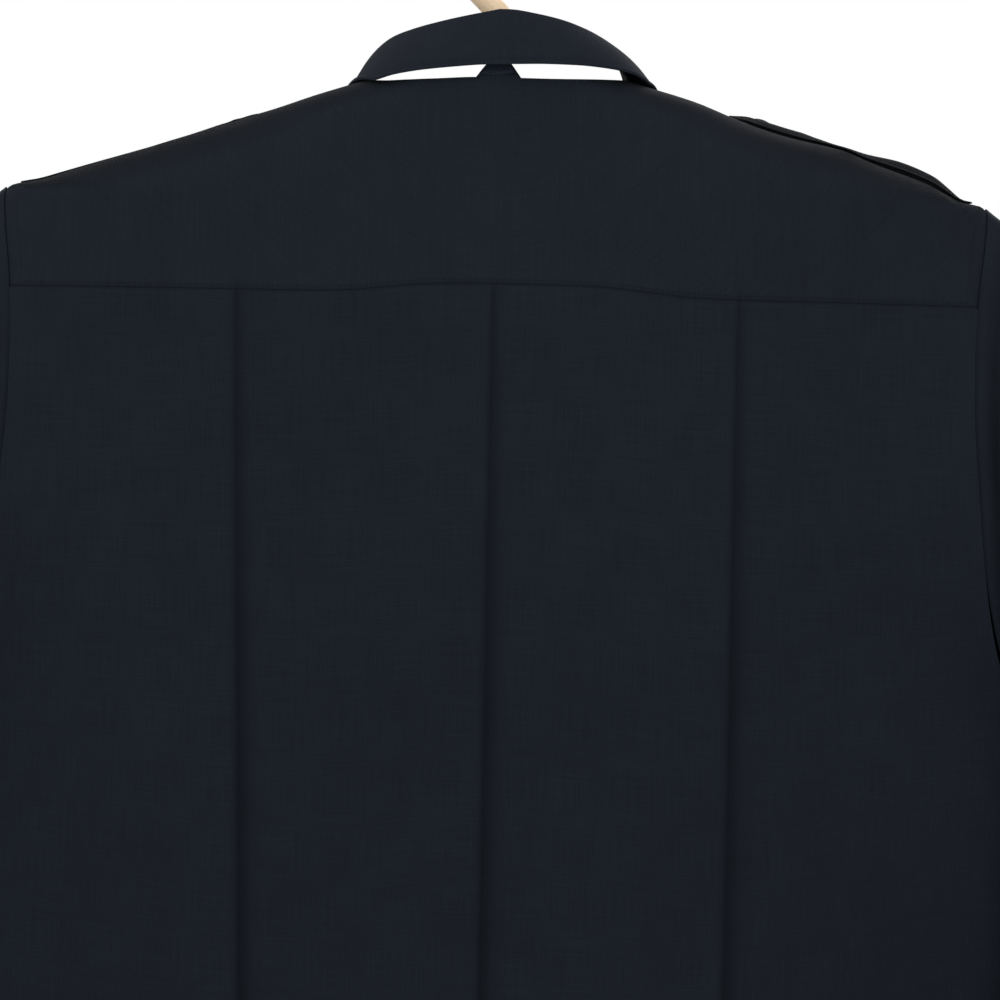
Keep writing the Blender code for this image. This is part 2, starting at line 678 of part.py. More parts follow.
def pockets():
    """Patch pockets and their flaps, on the fronts' own columns, moved out."""
    x = np.array([c for c in FRONT_COLUMNS if POCKET_COLUMNS[0] <= c <= POCKET_COLUMNS[1]])
    from_middle = np.abs(x - FRONT_CREASE_X) / (FRONT_CREASE_X - POCKET_COLUMNS[0])
    pocket_low = CLOTH + SEAM_GAP
    flap_low = pocket_low + POCKET_WALL + SEAM_GAP
    cut = np.clip((from_middle - POCKET_CORNER_START) / (1 - POCKET_CORNER_START), 0, 1)
    for name, rows, corner, low, high in (
        ("pocket", POCKET_DROPS, POCKET_CORNER * cut, pocket_low, POCKET_WALL),
        ("flap", FLAP_DROPS, FLAP_POINT * np.clip(from_middle, 0, 1), flap_low, FLAP_WALL),
    ):
        drop = np.repeat(np.array(rows)[:, None], len(x), 1)
        drop[-1] -= corner
        angle = angle_at(x, drop, False)
        torso_wall(f"{name}_left", angle, drop, low, low + high)
        torso_wall(f"{name}_right", *mirrored(angle, drop), low, low + high)


def mirrored_section(angle, drop, side):
    """Points and directions of the torso surface on one side, turned over to the wearer's left."""
    flip = np.array([side, 1, 1])
    return section(angle * side, drop) * flip, section_normal(angle * side, drop) * flip


def clear_of_torso(points, side):
    """The fall's points, raised where they would touch the shoulder."""
    over = np.abs(points[:, 1]) < SHOULDER_SHARE * TORSO.columns["back_depth"][0]
    angle, drop = ridge_place(points[:, 0], np.where(over, points[:, 1], 0.0))
    base, normal = mirrored_section(angle, drop, side)
    rise = np.maximum(normal[:, 2], COLLAR_LEAST_RISE)
    least = base[:, 2] + (CLOTH + COLLAR_WALL / 2 + COLLAR_REST) / rise
    raised = points.copy()
    raised[:, 2] = np.where(over, np.maximum(points[:, 2], least), points[:, 2])
    return raised


def collar_half(side):
    """Centre line of one side of the collar, from centre back to its front end, as rows down a column."""
    column = COLLAR.columns
    label = "left" if side > 0 else "right"
    run = column["foot_run"].copy()
    run[-1] = NECK_RUN[-1] - COLLAR_END
    seam, normal = mirrored_section(*neck_point(run), side)
    away = np.cross(np.gradient(seam, axis=0), normal)
    away /= np.linalg.norm(away, axis=-1, keepdims=True)
    reach = COLLAR_SEAM_GAP + COLLAR_WALL / 2 * np.clip(seam[:, :1] / COLLAR_REACH_X, 0, 1)
    foot = seam + normal * CLOTH / 2 + away * reach
    crown = np.stack([column["fold_x"], column["fold_y"], -column[f"fold_drop_{label}"]], -1)
    edge = np.stack([column[f"edge_x_{label}"], column["edge_y"], -column[f"edge_drop_{label}"]], -1)
    flat = np.gradient(crown, axis=0)
    out = np.stack([-flat[:, 1], flat[:, 0], np.zeros(len(flat))], -1)
    out /= np.linalg.norm(out, axis=-1, keepdims=True)
    axis = crown - np.array([0, 0, FOLD_RADIUS])
    roll = [axis + FOLD_RADIUS * (out * -math.cos(t) + np.array([0, 0, math.sin(t)])) for t in FOLD_TURNS]
    window = foot + (roll[0] - foot) * WINDOW_SHARE
    window[GAP_START, 0] = TAB_TOP_X
    middle = roll[-1] + (edge - roll[-1]) * FALL_MIDDLE + out * FALL_BOW
    points = np.array([foot, window, *roll, clear_of_torso(middle, side), clear_of_torso(edge, side)])
    points[..., 0] *= side
    return points


def collar():
    """Stand and fall in one, with the two gaps between the fall and the yoke beside the centre tab."""
    left, right = collar_half(1), collar_half(-1)
    middle = np.concatenate([right[:, :0:-1], left], 1)
    normal = grid_normals(middle)
    kept = np.ones((len(middle) - 1, middle.shape[1] - 1), bool)
    centre = len(COLLAR.key) - 1
    kept[0, centre - GAP_END_RIGHT : centre - GAP_START] = False
    kept[0, centre + GAP_START : centre + GAP_END_LEFT] = False
    half = normal * COLLAR_WALL / 2
    wall("collar", middle - half, middle + half, kept=kept)


def armhole_loop(lift):
    """The left armhole's edge at a height above the torso's inner face, from the shoulder down the back."""
    back_drops = np.array(YOKE_ARM_DROPS[::-1] + BACK_ARM_DROPS[1:])
    front_drops = np.array(YOKE_FRONT_DROPS + FRONT_ARM_DROPS[1:])[-2::-1]
    back_angles = angle_at(ARMHOLE.at("back_x", back_drops), back_drops, True)
    front_angles = angle_at(ARMHOLE.at("front_x", front_drops), front_drops, False)
    loop = np.concatenate([cloth(back_angles, back_drops, lift), cloth(front_angles, front_drops, lift)])
    underarm = np.clip((-loop[:, 2] - UNDERARM_START) / (UNDERARM_DROP - UNDERARM_START), 0, 1)
    loop[:, 0] += ARMHOLE_GAP + (2 * CLOTH + SEAM_GAP) * underarm
    return loop, len(back_drops) - 1


def sleeve_rings():
    """Left sleeve from the armhole to the cuff. Each ring starts at the shoulder and runs down the back."""
    first, low = armhole_loop(0.0)
    turn = np.concatenate([
        math.pi * np.linspace(0, 1, low + 1),
        math.pi * (1 + np.linspace(0, 1, len(first) - low + 1)[1:-1]),
    ])
    hanging = [sleeve_ring(turn, drop) for drop in SLEEVE_DROPS]
    bend = first + (hanging[0] - first) * np.array(CAP_BEND)
    rings = [(1 - t) ** 2 * first + 2 * t * (1 - t) * bend + t**2 * hanging[0] for t in CAP_SHARES]
    return np.array(rings + hanging)


def sleeve_ring(turn, drop):
    """One level ring of the hanging sleeve, drawn in at its folds."""
    radius = np.ones_like(turn)
    for place, half_width, depth in SLEEVE_FOLDS:
        away = (np.degrees(turn) - place + 180) % 360 - 180
        radius -= depth * np.exp(-((away / half_width) ** 2))
    centre = SLEEVE.at("centre_x", drop)
    x = centre + SLEEVE.at("half_width", drop) * radius * np.cos(turn)
    y = SLEEVE.at("half_depth", drop) * radius * np.sin(turn)
    return np.stack([x, y, np.full_like(x, -drop)], -1)


def both_sides(name, build):
    """A piece for the wearer's left and its mirror image for the right."""
    inner, outer, around = build()
    for side, label in ((1, "left"), (-1, "right")):
        flip = np.array([side, 1, 1])
        wall(f"{name}_{label}", inner * flip, outer * flip, around=around)


def sleeve():
    """Inner and outer points of the left sleeve. At the seam its wall lines up with the torso's."""
    middle = sleeve_rings()
    outer = middle - grid_normals(middle, around=True) * CLOTH
    underarm = np.clip((-middle[0, :, 2:] - UNDERARM_START) / (UNDERARM_DROP - UNDERARM_START), 0, 1)
    outer[0] = armhole_loop(CLOTH)[0] * (1 - underarm) + outer[0] * underarm
    return middle, outer, True


def cuff():
    """Inner and outer points of the left cuff, a band with a narrow slit where it buttons."""
    turn = math.radians(CUFF_OPENING) + np.linspace(0, 2 * math.pi, 21)
    turn[-1] -= CUFF_SLIT
    radius = np.array([CUFF_HALF_WIDTH, CUFF_HALF_DEPTH])
    rows = []
    for drop in CUFF_DROPS:
        ring = np.stack([np.cos(turn), np.sin(turn)], -1) * radius
        x = ring[:, 0] + SLEEVE.at("centre_x", drop)
        rows.append(np.stack([x, ring[:, 1], np.full(len(turn), -drop)], -1))
    inner = np.array(rows)
    outward = np.stack([np.cos(turn), np.sin(turn), np.zeros(len(turn))], -1)
    return inner, inner + outward * CUFF_WALL, False


def ridge_place(x, y):
    """Angle and drop of the torso surface over a place seen from above, near the shoulder ridge."""
    drops = np.linspace(NECK_SIDE_DROP, RIDGE_FOOT_DROP, RIDGE_SAMPLES)
    widths = TORSO.at("half_width", drops)
    depth = np.where(y >= 0, RIDGE_DEPTH_BACK, RIDGE_DEPTH_FRONT)
    rest = (1 - (np.abs(y) / depth) ** SECTION_POWER) ** (1 / SECTION_POWER)
    drop = np.interp(x / rest, widths, drops)
    across = np.arcsin(np.clip(x / TORSO.at("half_width", drop), -1, 1))
    return np.where(y >= 0, across, math.pi - across), drop


def strap_place(x, across, side):
    """Points and directions of the torso surface under a strap, and the strap's lift over it."""
    label = "left" if side > 0 else "right"
    y = STRAP.at(f"middle_y_{label}", x) - across * STRAP.at(f"half_width_{label}", x)
    angle, drop = ridge_place(x, y)
    lift = CLOTH + STRAP_GAP + STRAP.at(f"lift_{label}", x)
    return section(side * angle, drop), section_normal(side * angle, drop), lift[..., None]


def straps():
    """Shoulder straps over the ridge, pointed at the neck end, with the waves of the cloth."""
    across, along = np.meshgrid(np.linspace(-1, 1, STRAP_COLUMNS), STRAP.key, indexing="ij")
    for side, label in ((1, "left"), (-1, "right")):
        base, normal, lift = strap_place(along, across, side)
        low = base + normal * lift
        wall(f"strap_{label}", low, low + normal * STRAP_WALL)


def button(name, middle, normal):
    """A flat round button, its underside at a point and its face along a direction."""
    shape = bmesh.new()
    bmesh.ops.create_cone(
        shape, cap_ends=True, cap_tris=False, segments=BUTTON_SIDES, radius1=BUTTON_RADIUS,
        radius2=BUTTON_RADIUS * BUTTON_TAPER, depth=BUTTON_DEPTH,
    )
    normal = np.asarray(normal, float)
    turn = Vector(normal.tolist()).to_track_quat("Z", "Y")
    points = [np.array(turn @ v.co) + middle + normal * BUTTON_DEPTH / 2 for v in shape.verts]
    shape.verts.index_update()
    faces = [tuple(v.index for v in f.verts) for f in shape.faces]
    shape.free()
    add_object(name, np.array(points), faces, "navy_button")


def buttons():
    """Front, pocket flap, strap and cuff buttons."""
    front_lift = CLOTH + SEAM_GAP + PLACKET_WALL + SEAM_GAP
    place = PLACKET_SIDES[0] / 2 + PLACKET_SIDES[1] / 2
    for number, drop in enumerate(FRONT_BUTTON_DROPS, 1):
        on_surface(f"button_front_{number}", float(angle_at(place, drop, False)), drop, front_lift)
    flap_lift = CLOTH + SEAM_GAP + POCKET_WALL + SEAM_GAP + FLAP_WALL + SEAM_GAP
    flap_angle = float(angle_at(FRONT_CREASE_X, FLAP_BUTTON_DROP, False))
    for side, label in ((1, "left"), (-1, "right")):
        on_surface(f"button_flap_{label}", side * flap_angle, FLAP_BUTTON_DROP, flap_lift)
        base, normal, lift = strap_place(np.array([STRAP_BUTTON_X]), np.zeros(1), side)
        on_strap = base + normal * (lift + STRAP_WALL + 2 * SEAM_GAP)
        button(f"button_strap_{label}", on_strap[0], normal[0])
        turn = math.radians(CUFF_OPENING + CUFF_BUTTON_TURN)
        out = np.array([side * math.cos(turn), math.sin(turn), 0.0])
        reach = np.array([CUFF_HALF_WIDTH + CUFF_WALL + SEAM_GAP, CUFF_HALF_DEPTH + CUFF_WALL + SEAM_GAP, 0])
        drop = sum(CUFF_DROPS) / len(CUFF_DROPS)
        centre = np.array([side * float(SLEEVE.at("centre_x", drop)), 0, -drop])
        button(f"button_cuff_{label}", centre + out * reach, out)


def on_surface(name, angle, drop, lift):
    """A button lying on the torso pieces."""
    middle = cloth(np.array([angle]), np.array([drop]), lift, creased=False)[0]
    button(name, middle, section_normal(np.array([angle]), np.array([drop]))[0])


def sweep(name, path, radii, finish, sides):
    """A closed bar with elliptical sections square to its path. The radii are in its plane and along Y."""
    path, radii = np.asarray(path), np.asarray(radii)
    ahead = np.gradient(path, axis=0)
    ahead /= np.linalg.norm(ahead, axis=-1, keepdims=True)
    beside = np.cross(ahead, np.array([0.0, 1.0, 0.0]))
    turn = np.linspace(0, 2 * math.pi, sides, endpoint=False)[None, :, None]
    points = (
        path[:, None]
        + beside[:, None] * np.cos(turn) * radii[:, None, :1]
        + np.array([0.0, 1.0, 0.0]) * np.sin(turn) * radii[:, None, 1:]
    )
    rows = len(path)
    faces = cells(rows, sides, True).tolist()
    faces += [list(range(sides))[::-1], list(range((rows - 1) * sides, rows * sides))]
    add_object(name, points.reshape(-1, 3), faces, finish)


def hanger():
    """Plain hanger inside the shoulders, and its hook, the inside of whose crown is at the origin."""
    x = np.linspace(-HANGER_REACH, HANGER_REACH, 25)
    drops = np.linspace(NECK_SIDE_DROP, SHOULDER_DROP + HANGER_MARGIN, RIDGE_SAMPLES)
    ridge = np.interp(np.abs(x), TORSO.at("half_width", drops), drops)
    sunk = np.maximum(0, -np.minimum(SHOULDER_SHIFT.at("rise", x), SHOULDER_SHIFT.at("rise", -x)))
    saddle = HANGER_NECK_DROP + HANGER_SADDLE * (1 - np.abs(x) / HANGER_INNER_X)
    ridge = np.where(np.abs(x) < HANGER_INNER_X, saddle, ridge) + sunk * shift_fade(ridge)
    round_end = 1 - (np.abs(x) / (HANGER_REACH + HANGER_END_CLEAR)) ** HANGER_END_POWER
    round_end = np.sqrt(np.clip(round_end, HANGER_END_LEAST, 1))
    radii = np.stack([HANGER_HALF_HEIGHT * round_end, HANGER_HALF_DEPTH * round_end], -1)
    path = np.stack([x, np.zeros_like(x), -(ridge + HANGER_CLEAR + HANGER_HALF_HEIGHT)], -1)
    sweep("hanger_body", path, radii, "hanger_beige", BAR_SIDES)
    radius = HOOK_INNER + HOOK_ROD / 2
    arc = np.radians(np.linspace(HOOK_TIP_TURN, -45, 15))
    crown = np.stack([radius * np.cos(arc), np.zeros(len(arc)), -HOOK_INNER + radius * np.sin(arc)], -1)
    straight = crown[-1] + np.array([-1, 0, -1]) * (crown[-1, 0] - HOOK_BEND) * np.array([[0.5], [1.0]])
    foot_drop = HANGER_NECK_DROP + HANGER_SADDLE + HANGER_CLEAR - SEAM_GAP - HOOK_STEM_GAP
    bend, stem_top = (straight[-1, 2] - HOOK_BEND * step for step in HOOK_BEND_STEPS)
    stem = np.array([[HOOK_BEND / 5, 0, bend], [0, 0, stem_top], [0, 0, -foot_drop]])
    path = np.concatenate([crown, straight, stem])
    rod = np.full((len(path), 2), HOOK_ROD / 2)
    rod[0] *= HOOK_TIP_SHARE
    sweep("hanger_hook", path, rod, "hanger_beige", BAR_SIDES)


def main():
    """Clears the scene and builds every piece."""
    for old in list(bpy.data.objects):
        bpy.data.objects.remove(old)
    yoke()
    back()
    left = fronts()
    placket(left)
    pockets()
    collar()
    both_sides("sleeve", sleeve)
    both_sides("cuff", cuff)
    straps()
    buttons()
    hanger()


main()
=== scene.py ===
"""Looks of a police uniform shirt on its hanger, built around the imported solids.

Lengths here are in millimetres and are turned into metres when a mesh is made. "Drop" is the distance below
the hook's crown. The front faces -Y, the back +Y, and +X is the wearer's left. Every panel of the torso
lies on one surface of rings, and what lies on a panel is made from the same points, moved out.
"""

import logging
import math
from dataclasses import dataclass
from enum import Enum

import bmesh
import bpy
import numpy as np
from mathutils import Matrix

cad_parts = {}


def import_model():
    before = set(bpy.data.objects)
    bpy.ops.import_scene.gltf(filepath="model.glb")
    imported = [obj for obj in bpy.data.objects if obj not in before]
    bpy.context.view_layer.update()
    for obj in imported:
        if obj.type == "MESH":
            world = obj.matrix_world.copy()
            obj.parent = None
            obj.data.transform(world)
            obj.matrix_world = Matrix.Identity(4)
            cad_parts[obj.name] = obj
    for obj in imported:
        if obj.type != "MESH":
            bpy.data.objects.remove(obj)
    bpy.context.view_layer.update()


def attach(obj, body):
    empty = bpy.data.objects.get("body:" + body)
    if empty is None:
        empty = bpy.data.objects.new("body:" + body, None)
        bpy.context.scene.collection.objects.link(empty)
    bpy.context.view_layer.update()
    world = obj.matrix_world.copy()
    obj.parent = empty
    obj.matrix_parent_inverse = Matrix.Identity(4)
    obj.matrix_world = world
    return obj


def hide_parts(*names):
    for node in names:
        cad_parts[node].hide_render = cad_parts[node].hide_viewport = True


MM = 0.001
LOG = logging.getLogger("shirt")

Array = np.ndarray


class Side(Enum):
    """The wearer's left and right."""

    LEFT = 1
    RIGHT = -1

    @property
    def label(self) -> str:
        """The word that ends a piece's name."""
        return self.name.lower()

    @property
    def mirror(self) -> Array:
        """Factors that turn a point on the wearer's left into one on this side."""
        return np.array([self.value, 1, 1])


def monotone_cubic(knots: Array, values: Array, where: Array | float) -> Array:
    """A cubic through the knots that doesn't overshoot them.

    Args:
        knots: Places, rising.
        values: The value at each place.
        where: Places to read.

    Returns:
        The value at each place asked for.
    """
    where = np.clip(np.asarray(where, float), knots[0], knots[-1])
    step = np.diff(knots)
    slope = np.diff(values) / step
    tangent = np.empty(len(values))
    tangent[0], tangent[-1] = slope[0], slope[-1]
    product = slope[:-1] * slope[1:]
    total = slope[:-1] + slope[1:]
    tangent[1:-1] = np.where(product > 0, 2 * product / np.where(total == 0, 1, total), 0)
    i = np.clip(np.searchsorted(knots, where, side="right") - 1, 0, len(step) - 1)
    h = step[i]
    t = (where - knots[i]) / h
    return (
        values[i] * (1 + 2 * t) * (1 - t) ** 2
        + tangent[i] * h * t * (1 - t) ** 2
        + values[i + 1] * t**2 * (3 - 2 * t)
        + tangent[i + 1] * h * t**2 * (t - 1)
    )


@dataclass(frozen=True)
class Table:
    """A short table with named columns, read smoothly along its first column."""

    names: tuple[str, ...]
    rows: tuple[tuple[float, ...], ...]

    def column(self, name: str) -> Array:
        """The values of one column."""
        return np.array(self.rows, float)[:, self.names.index(name)]

    def at(self, name: str, where: Array | float) -> Array:
        """The value of a column where the first column has the given value."""
        return monotone_cubic(self.column(self.names[0]), self.column(name), where)


def smooth_step(low: float, high: float, where: Array) -> Array:
    """0 below low, 1 above high, and a smooth rise between them: 3t^2 - 2t^3."""
    t = np.clip((where - low) / (high - low), 0, 1)
    return t * t * (3 - 2 * t)


def graded(start: float, end: float, count: int, pull_start: float = 0.0, pull_end: float = 0.0) -> Array:
    """Places from start to end, closer together at an end that pulls them.

    Args:
        start: First place.
        end: Last place.
        count: Number of places.
        pull_start: 0 for even steps, up to 1 for steps that start from nothing.
        pull_end: The same at the end.

    Returns:
        The places. Each pull bends the even share t by t^2 or by 1 - (1 - t)^2.
    """
    t = np.linspace(0, 1, count)
    t = t + pull_start * (t * t - t) * (1 - t) + pull_end * ((1 - (1 - t) ** 2) - t) * t
    return start + (end - start) * t


@dataclass(frozen=True)
class Fold:
    """A soft trough or ridge that runs down the cloth, on the back or the front."""

    on_back: bool
    top_x: float
    foot_x: float
    top: float
    foot: float
    half_width: float
    depth: float
    bow: float = 0.0


def unit(vectors: Array) -> Array:
    """The vectors, each one long."""
    return vectors / np.maximum(np.linalg.norm(vectors, axis=-1, keepdims=True), 1e-12)


@dataclass(frozen=True)
class TorsoForm:
    """The surface that all torso panels lie on, with its folds and sewn creases."""

    cloth: float = 1.5
    seam_gap: float = 0.35
    power: float = 2.2
    neck_side_drop: float = 82.5
    shoulder_drop: float = 143.0
    yoke_corner_drop: float = 193.5
    front_corner_drop: float = 166.0
    flap_top_drop: float = 262.0
    underarm_drop: float = 403.0
    hem_centre_drop: float = 886.0
    hem_side_rise: float = 72.0
    front_crease_x: float = 107.0
    ridge_back: float = 55.2
    ridge_front: float = 57.8
    seam_peak: tuple[float, float, float] = (-12.0, 72.0, 5.3)
    shift_drops: tuple[float, float] = (130.0, 190.0)
    shoulder_shift: Table = Table(
        ("x", "rise"),
        (
            (-246.0, 0.0), (-238.0, -1.6), (-230.0, 0.4), (-221.0, 2.4), (-210.0, 3.0), (-190.0, 3.2),
            (-178.0, 4.4), (-169.0, 3.6), (-155.0, 1.6), (-141.0, 0.3), (-120.0, -0.8), (-100.0, 0.0),
            (-72.0, -0.6), (-60.0, 0.0), (10.0, 0.0), (33.0, -1.2), (46.0, -2.2), (58.0, -3.0),
            (90.0, -3.0), (112.0, -3.6), (128.0, -2.8), (145.0, -1.6), (200.0, -1.4), (230.0, -1.5),
            (246.0, 0.0),
        ),
    )
    rings: Table = Table(
        ("drop", "half_width", "back_depth", "front_depth"),
        (
            (82.5, 70.0, 54.0, 57.0),
            (88.5, 90.0, 54.3, 57.2),
            (98.5, 120.0, 54.6, 57.5),
            (106.5, 140.0, 54.8, 57.6),
            (115.5, 166.0, 55.0, 57.7),
            (128.0, 204.0, 55.2, 57.8),
            (138.0, 235.0, 55.4, 57.9),
            (143.0, 250.0, 55.4, 57.9),
            (152.0, 253.6, 55.5, 58.0),
            (165.0, 261.0, 55.6, 57.9),
            (180.0, 271.0, 55.8, 57.6),
            (193.5, 281.0, 56.0, 57.4),
            (217.0, 300.0, 56.0, 57.0),
            (240.0, 317.0, 56.0, 56.6),
            (262.0, 329.0, 56.0, 56.2),
            (290.0, 336.0, 55.8, 55.8),
            (320.0, 326.0, 55.4, 55.4),
            (350.0, 300.0, 55.0, 55.0),
            (380.0, 277.0, 54.6, 54.6),
            (403.0, 272.0, 54.0, 54.0),
            (450.0, 269.0, 53.0, 52.5),
            (520.0, 265.0, 50.5, 50.0),
            (600.0, 262.0, 48.5, 48.0),
            (700.0, 265.0, 48.0, 47.0),
            (886.0, 272.0, 49.0, 47.5),
        ),
    )
    armhole: Table = Table(
        ("drop", "back_x", "front_x"),
        (
            (143.0, 250.0, 250.0),
            (152.0, 249.5, 249.3),
            (166.0, 248.0, 247.5),
            (180.0, 246.0, 244.8),
            (193.5, 244.5, 242.5),
            (217.0, 243.0, 239.5),
            (240.0, 243.0, 238.0),
            (262.0, 244.0, 238.0),
            (290.0, 246.5, 240.0),
            (320.0, 249.5, 244.0),
            (350.0, 254.0, 250.0),
            (380.0, 262.0, 260.0),
            (403.0, 272.0, 272.0),
        ),
    )
    back_neckline: tuple[tuple[float, float], ...] = (
        (0.0, 85.5), (20.0, 85.5), (40.0, 85.2), (55.0, 84.6), (64.0, 83.8), (70.0, 82.5),
    )
    front_neckline: tuple[tuple[float, float], ...] = (
        (69.5, 88.0), (65.0, 100.0), (56.0, 115.0), (43.0, 130.0), (28.0, 141.0), (12.0, 147.0), (0.0, 148.0),
    )
    back_creases: Table = Table(
        ("drop", "right", "centre", "left"),
        ((188.0, -123.0, 0.0, 129.0), (546.0, -124.0, -1.5, 119.5), (886.0, -124.0, -2.0, 114.0)),
    )
    crease_shape: Table = Table(
        ("drop", "depth", "steep", "soft"),
        (
            (185.0, 1.2, 1.3, 2.4),
            (240.0, 1.9, 1.8, 3.6),
            (400.0, 2.5, 2.1, 4.4),
            (600.0, 2.8, 2.2, 4.8),
            (886.0, 2.6, 2.3, 5.0),
        ),
    )
    folds: tuple[Fold, ...] = (
        Fold(True, -222.0, -196.0, 395.0, 900.0, 20.0, 5.0),
        Fold(True, 226.0, 192.0, 400.0, 900.0, 22.0, 5.5),
        Fold(True, -60.0, -72.0, 560.0, 930.0, 26.0, 4.0),
        Fold(True, 62.0, 58.0, 600.0, 930.0, 24.0, 3.5),
        Fold(False, -220.0, -200.0, 410.0, 900.0, 22.0, 5.0),
        Fold(False, 218.0, 196.0, 420.0, 900.0, 20.0, 5.5),
        Fold(False, -66.0, -74.0, 500.0, 930.0, 24.0, 4.0),
        Fold(False, 70.0, 82.0, 540.0, 930.0, 26.0, 3.5),
    )
    small_folds: tuple[Fold, ...] = (
        Fold(True, -178.0, -160.0, 300.0, 760.0, 16.0, 0.8, 5.0),
        Fold(True, 186.0, 160.0, 330.0, 800.0, 18.0, 0.9, -6.0),
        Fold(True, -92.0, -100.0, 420.0, 900.0, 12.0, 0.6, 4.0),
        Fold(True, -30.0, -38.0, 380.0, 850.0, 15.0, 0.5, -5.0),
        Fold(True, 34.0, 30.0, 450.0, 930.0, 14.0, 0.6, 5.0),
        Fold(True, 92.0, 88.0, 360.0, 880.0, 13.0, 0.55, -4.0),
        Fold(True, -244.0, -236.0, 430.0, 860.0, 10.0, 1.6, 4.0),
        Fold(True, 246.0, 234.0, 440.0, 880.0, 11.0, -1.4, 5.0),
        Fold(False, -176.0, -150.0, 430.0, 900.0, 15.0, 1.4, 6.0),
        Fold(False, 172.0, 150.0, 440.0, 930.0, 17.0, 1.5, -6.0),
        Fold(False, -38.0, -44.0, 230.0, 620.0, 12.0, 0.9, 3.0),
        Fold(False, 40.0, 48.0, 260.0, 700.0, 12.0, 0.8, -3.0),
        Fold(False, 128.0, 120.0, 450.0, 900.0, 11.0, -1.0, 4.0),
        Fold(False, -130.0, -124.0, 480.0, 930.0, 12.0, -0.9, -4.0),
        Fold(False, 246.0, 236.0, 430.0, 860.0, 10.0, 1.8, -4.0),
        Fold(False, -246.0, -234.0, 440.0, 880.0, 11.0, -1.5, 4.0),
        Fold(True, -270.0, -270.0, 385.0, 560.0, 24.0, -4.5),
        Fold(False, -270.0, -270.0, 385.0, 560.0, 24.0, -4.5),
        Fold(True, 270.0, 270.0, 400.0, 640.0, 24.0, -2.0),
        Fold(False, 270.0, 270.0, 400.0, 640.0, 24.0, -2.0),
    )

    def shift(self, x: Array, drop: Array) -> Array:
        """How far the shoulder hangs above its even slope: the table's rise, faded out by the drop."""
        fade = 1 - smooth_step(*self.shift_drops, np.asarray(drop, float))
        return self.shoulder_shift.at("rise", x) * fade

    def section(self, angle: Array, drop: Array) -> Array:
        """A point on the ring at a drop.

        Args:
            angle: 0 at centre back and a quarter turn at the left side.
            drop: Distance below the hook point.

        Returns:
            Points with x = half width * sin(angle), y = depth * (1 - |sin(angle)|^power)^(1/power), and z
            the shoulder's shift at x less the drop.
        """
        across = np.sin(angle)
        x = self.rings.at("half_width", drop) * across
        behind = np.cos(angle) >= 0
        depth = np.where(behind, self.rings.at("back_depth", drop), -self.rings.at("front_depth", drop))
        rest = np.clip(1 - np.abs(across) ** self.power, 0, 1)
        y = depth * rest ** (1 / self.power)
        return np.stack([x, y, self.shift(x, drop) - drop], -1)

    def normal(self, angle: Array, drop: Array) -> Array:
        """The outward direction, as the cross product of small steps down and along the ring.

        Args:
            angle: Ring angles.
            drop: Drops.

        Returns:
            One unit vector for each place.
        """
        turn, lower = 0.02, 0.6
        along_ring = self.section(angle + turn, drop) - self.section(angle - turn, drop)
        down = self.section(angle, drop + lower) - self.section(angle, drop - lower)
        return -unit(np.cross(down, along_ring))

    def fold_relief(self, fold: Fold, x: Array, drop: Array) -> Array:
        """One fold as a bell across the cloth times a swell along it.

        Args:
            fold: The fold.
            x: Places across.
            drop: Places down.

        Returns:
            Heights, below zero in a trough: -depth * sin(swell) * exp(-((x - line) / half width)^2).
        """
        share = np.clip((drop - fold.top) / (fold.foot - fold.top), 0, 1)
        line = fold.top_x + (fold.foot_x - fold.top_x) * share + fold.bow * np.sin(share * math.tau * 0.8)
        swell = np.sin(np.clip(share * 1.15, 0, 1) * math.pi / 2)
        return -fold.depth * swell * np.exp(-(((x - line) / fold.half_width) ** 2))

    def relief(self, x: Array, drop: Array, behind: Array) -> Array:
        """How far folds, creases and the cloth's own unevenness move it.

        Args:
            x: Places across.
            drop: Places down.
            behind: Whether each place is on the back.

        Returns:
            Heights above the plain surface.
        """
        moved = np.zeros_like(x)
        for fold in self.folds + self.small_folds:
            moved += np.where(behind == fold.on_back, self.fold_relief(fold, x, drop), 0)
        for line, on_back in self.crease_lines(x, drop):
            moved -= np.where(behind == on_back, self.crease_share(x - line, drop, on_back), 0) * (
                self.crease_shape.at("depth", drop)
            )
        moved += 0.16 * np.sin(x / 31.0 + drop / 83.0) * np.sin(drop / 57.0 - x / 140.0)
        moved += 0.09 * np.sin(x / 11.0 - drop / 46.0) * np.sin(drop / 23.0 + x / 37.0)
        return moved

    def crease_lines(self, x: Array, drop: Array) -> list[tuple[Array, bool]]:
        """The x of each sewn crease at each drop, and whether it is on the back."""
        lines = [(self.back_creases.at(name, drop), True) for name in ("right", "centre", "left")]
        return lines + [(np.full_like(x, side.value * self.front_crease_x), False) for side in Side]

    def crease_share(self, away: Array, drop: Array, on_back: bool) -> Array:
        """How deep in a crease a place is, from 0 to 1.

        Args:
            away: Distance from the crease's line, above zero towards the wearer's left.
            drop: Places down.
            on_back: Whether the crease is on the back, where it starts at the yoke.

        Returns:
            A bell with a steep side towards the wearer's left and a soft one towards the right.
        """
        width = np.where(away > 0, self.crease_shape.at("steep", drop), self.crease_shape.at("soft", drop))
        start = self.yoke_corner_drop - 8.0 if on_back else 96.0
        return np.exp(-((away / width) ** 2)) * smooth_step(start, start + 8.0, drop)

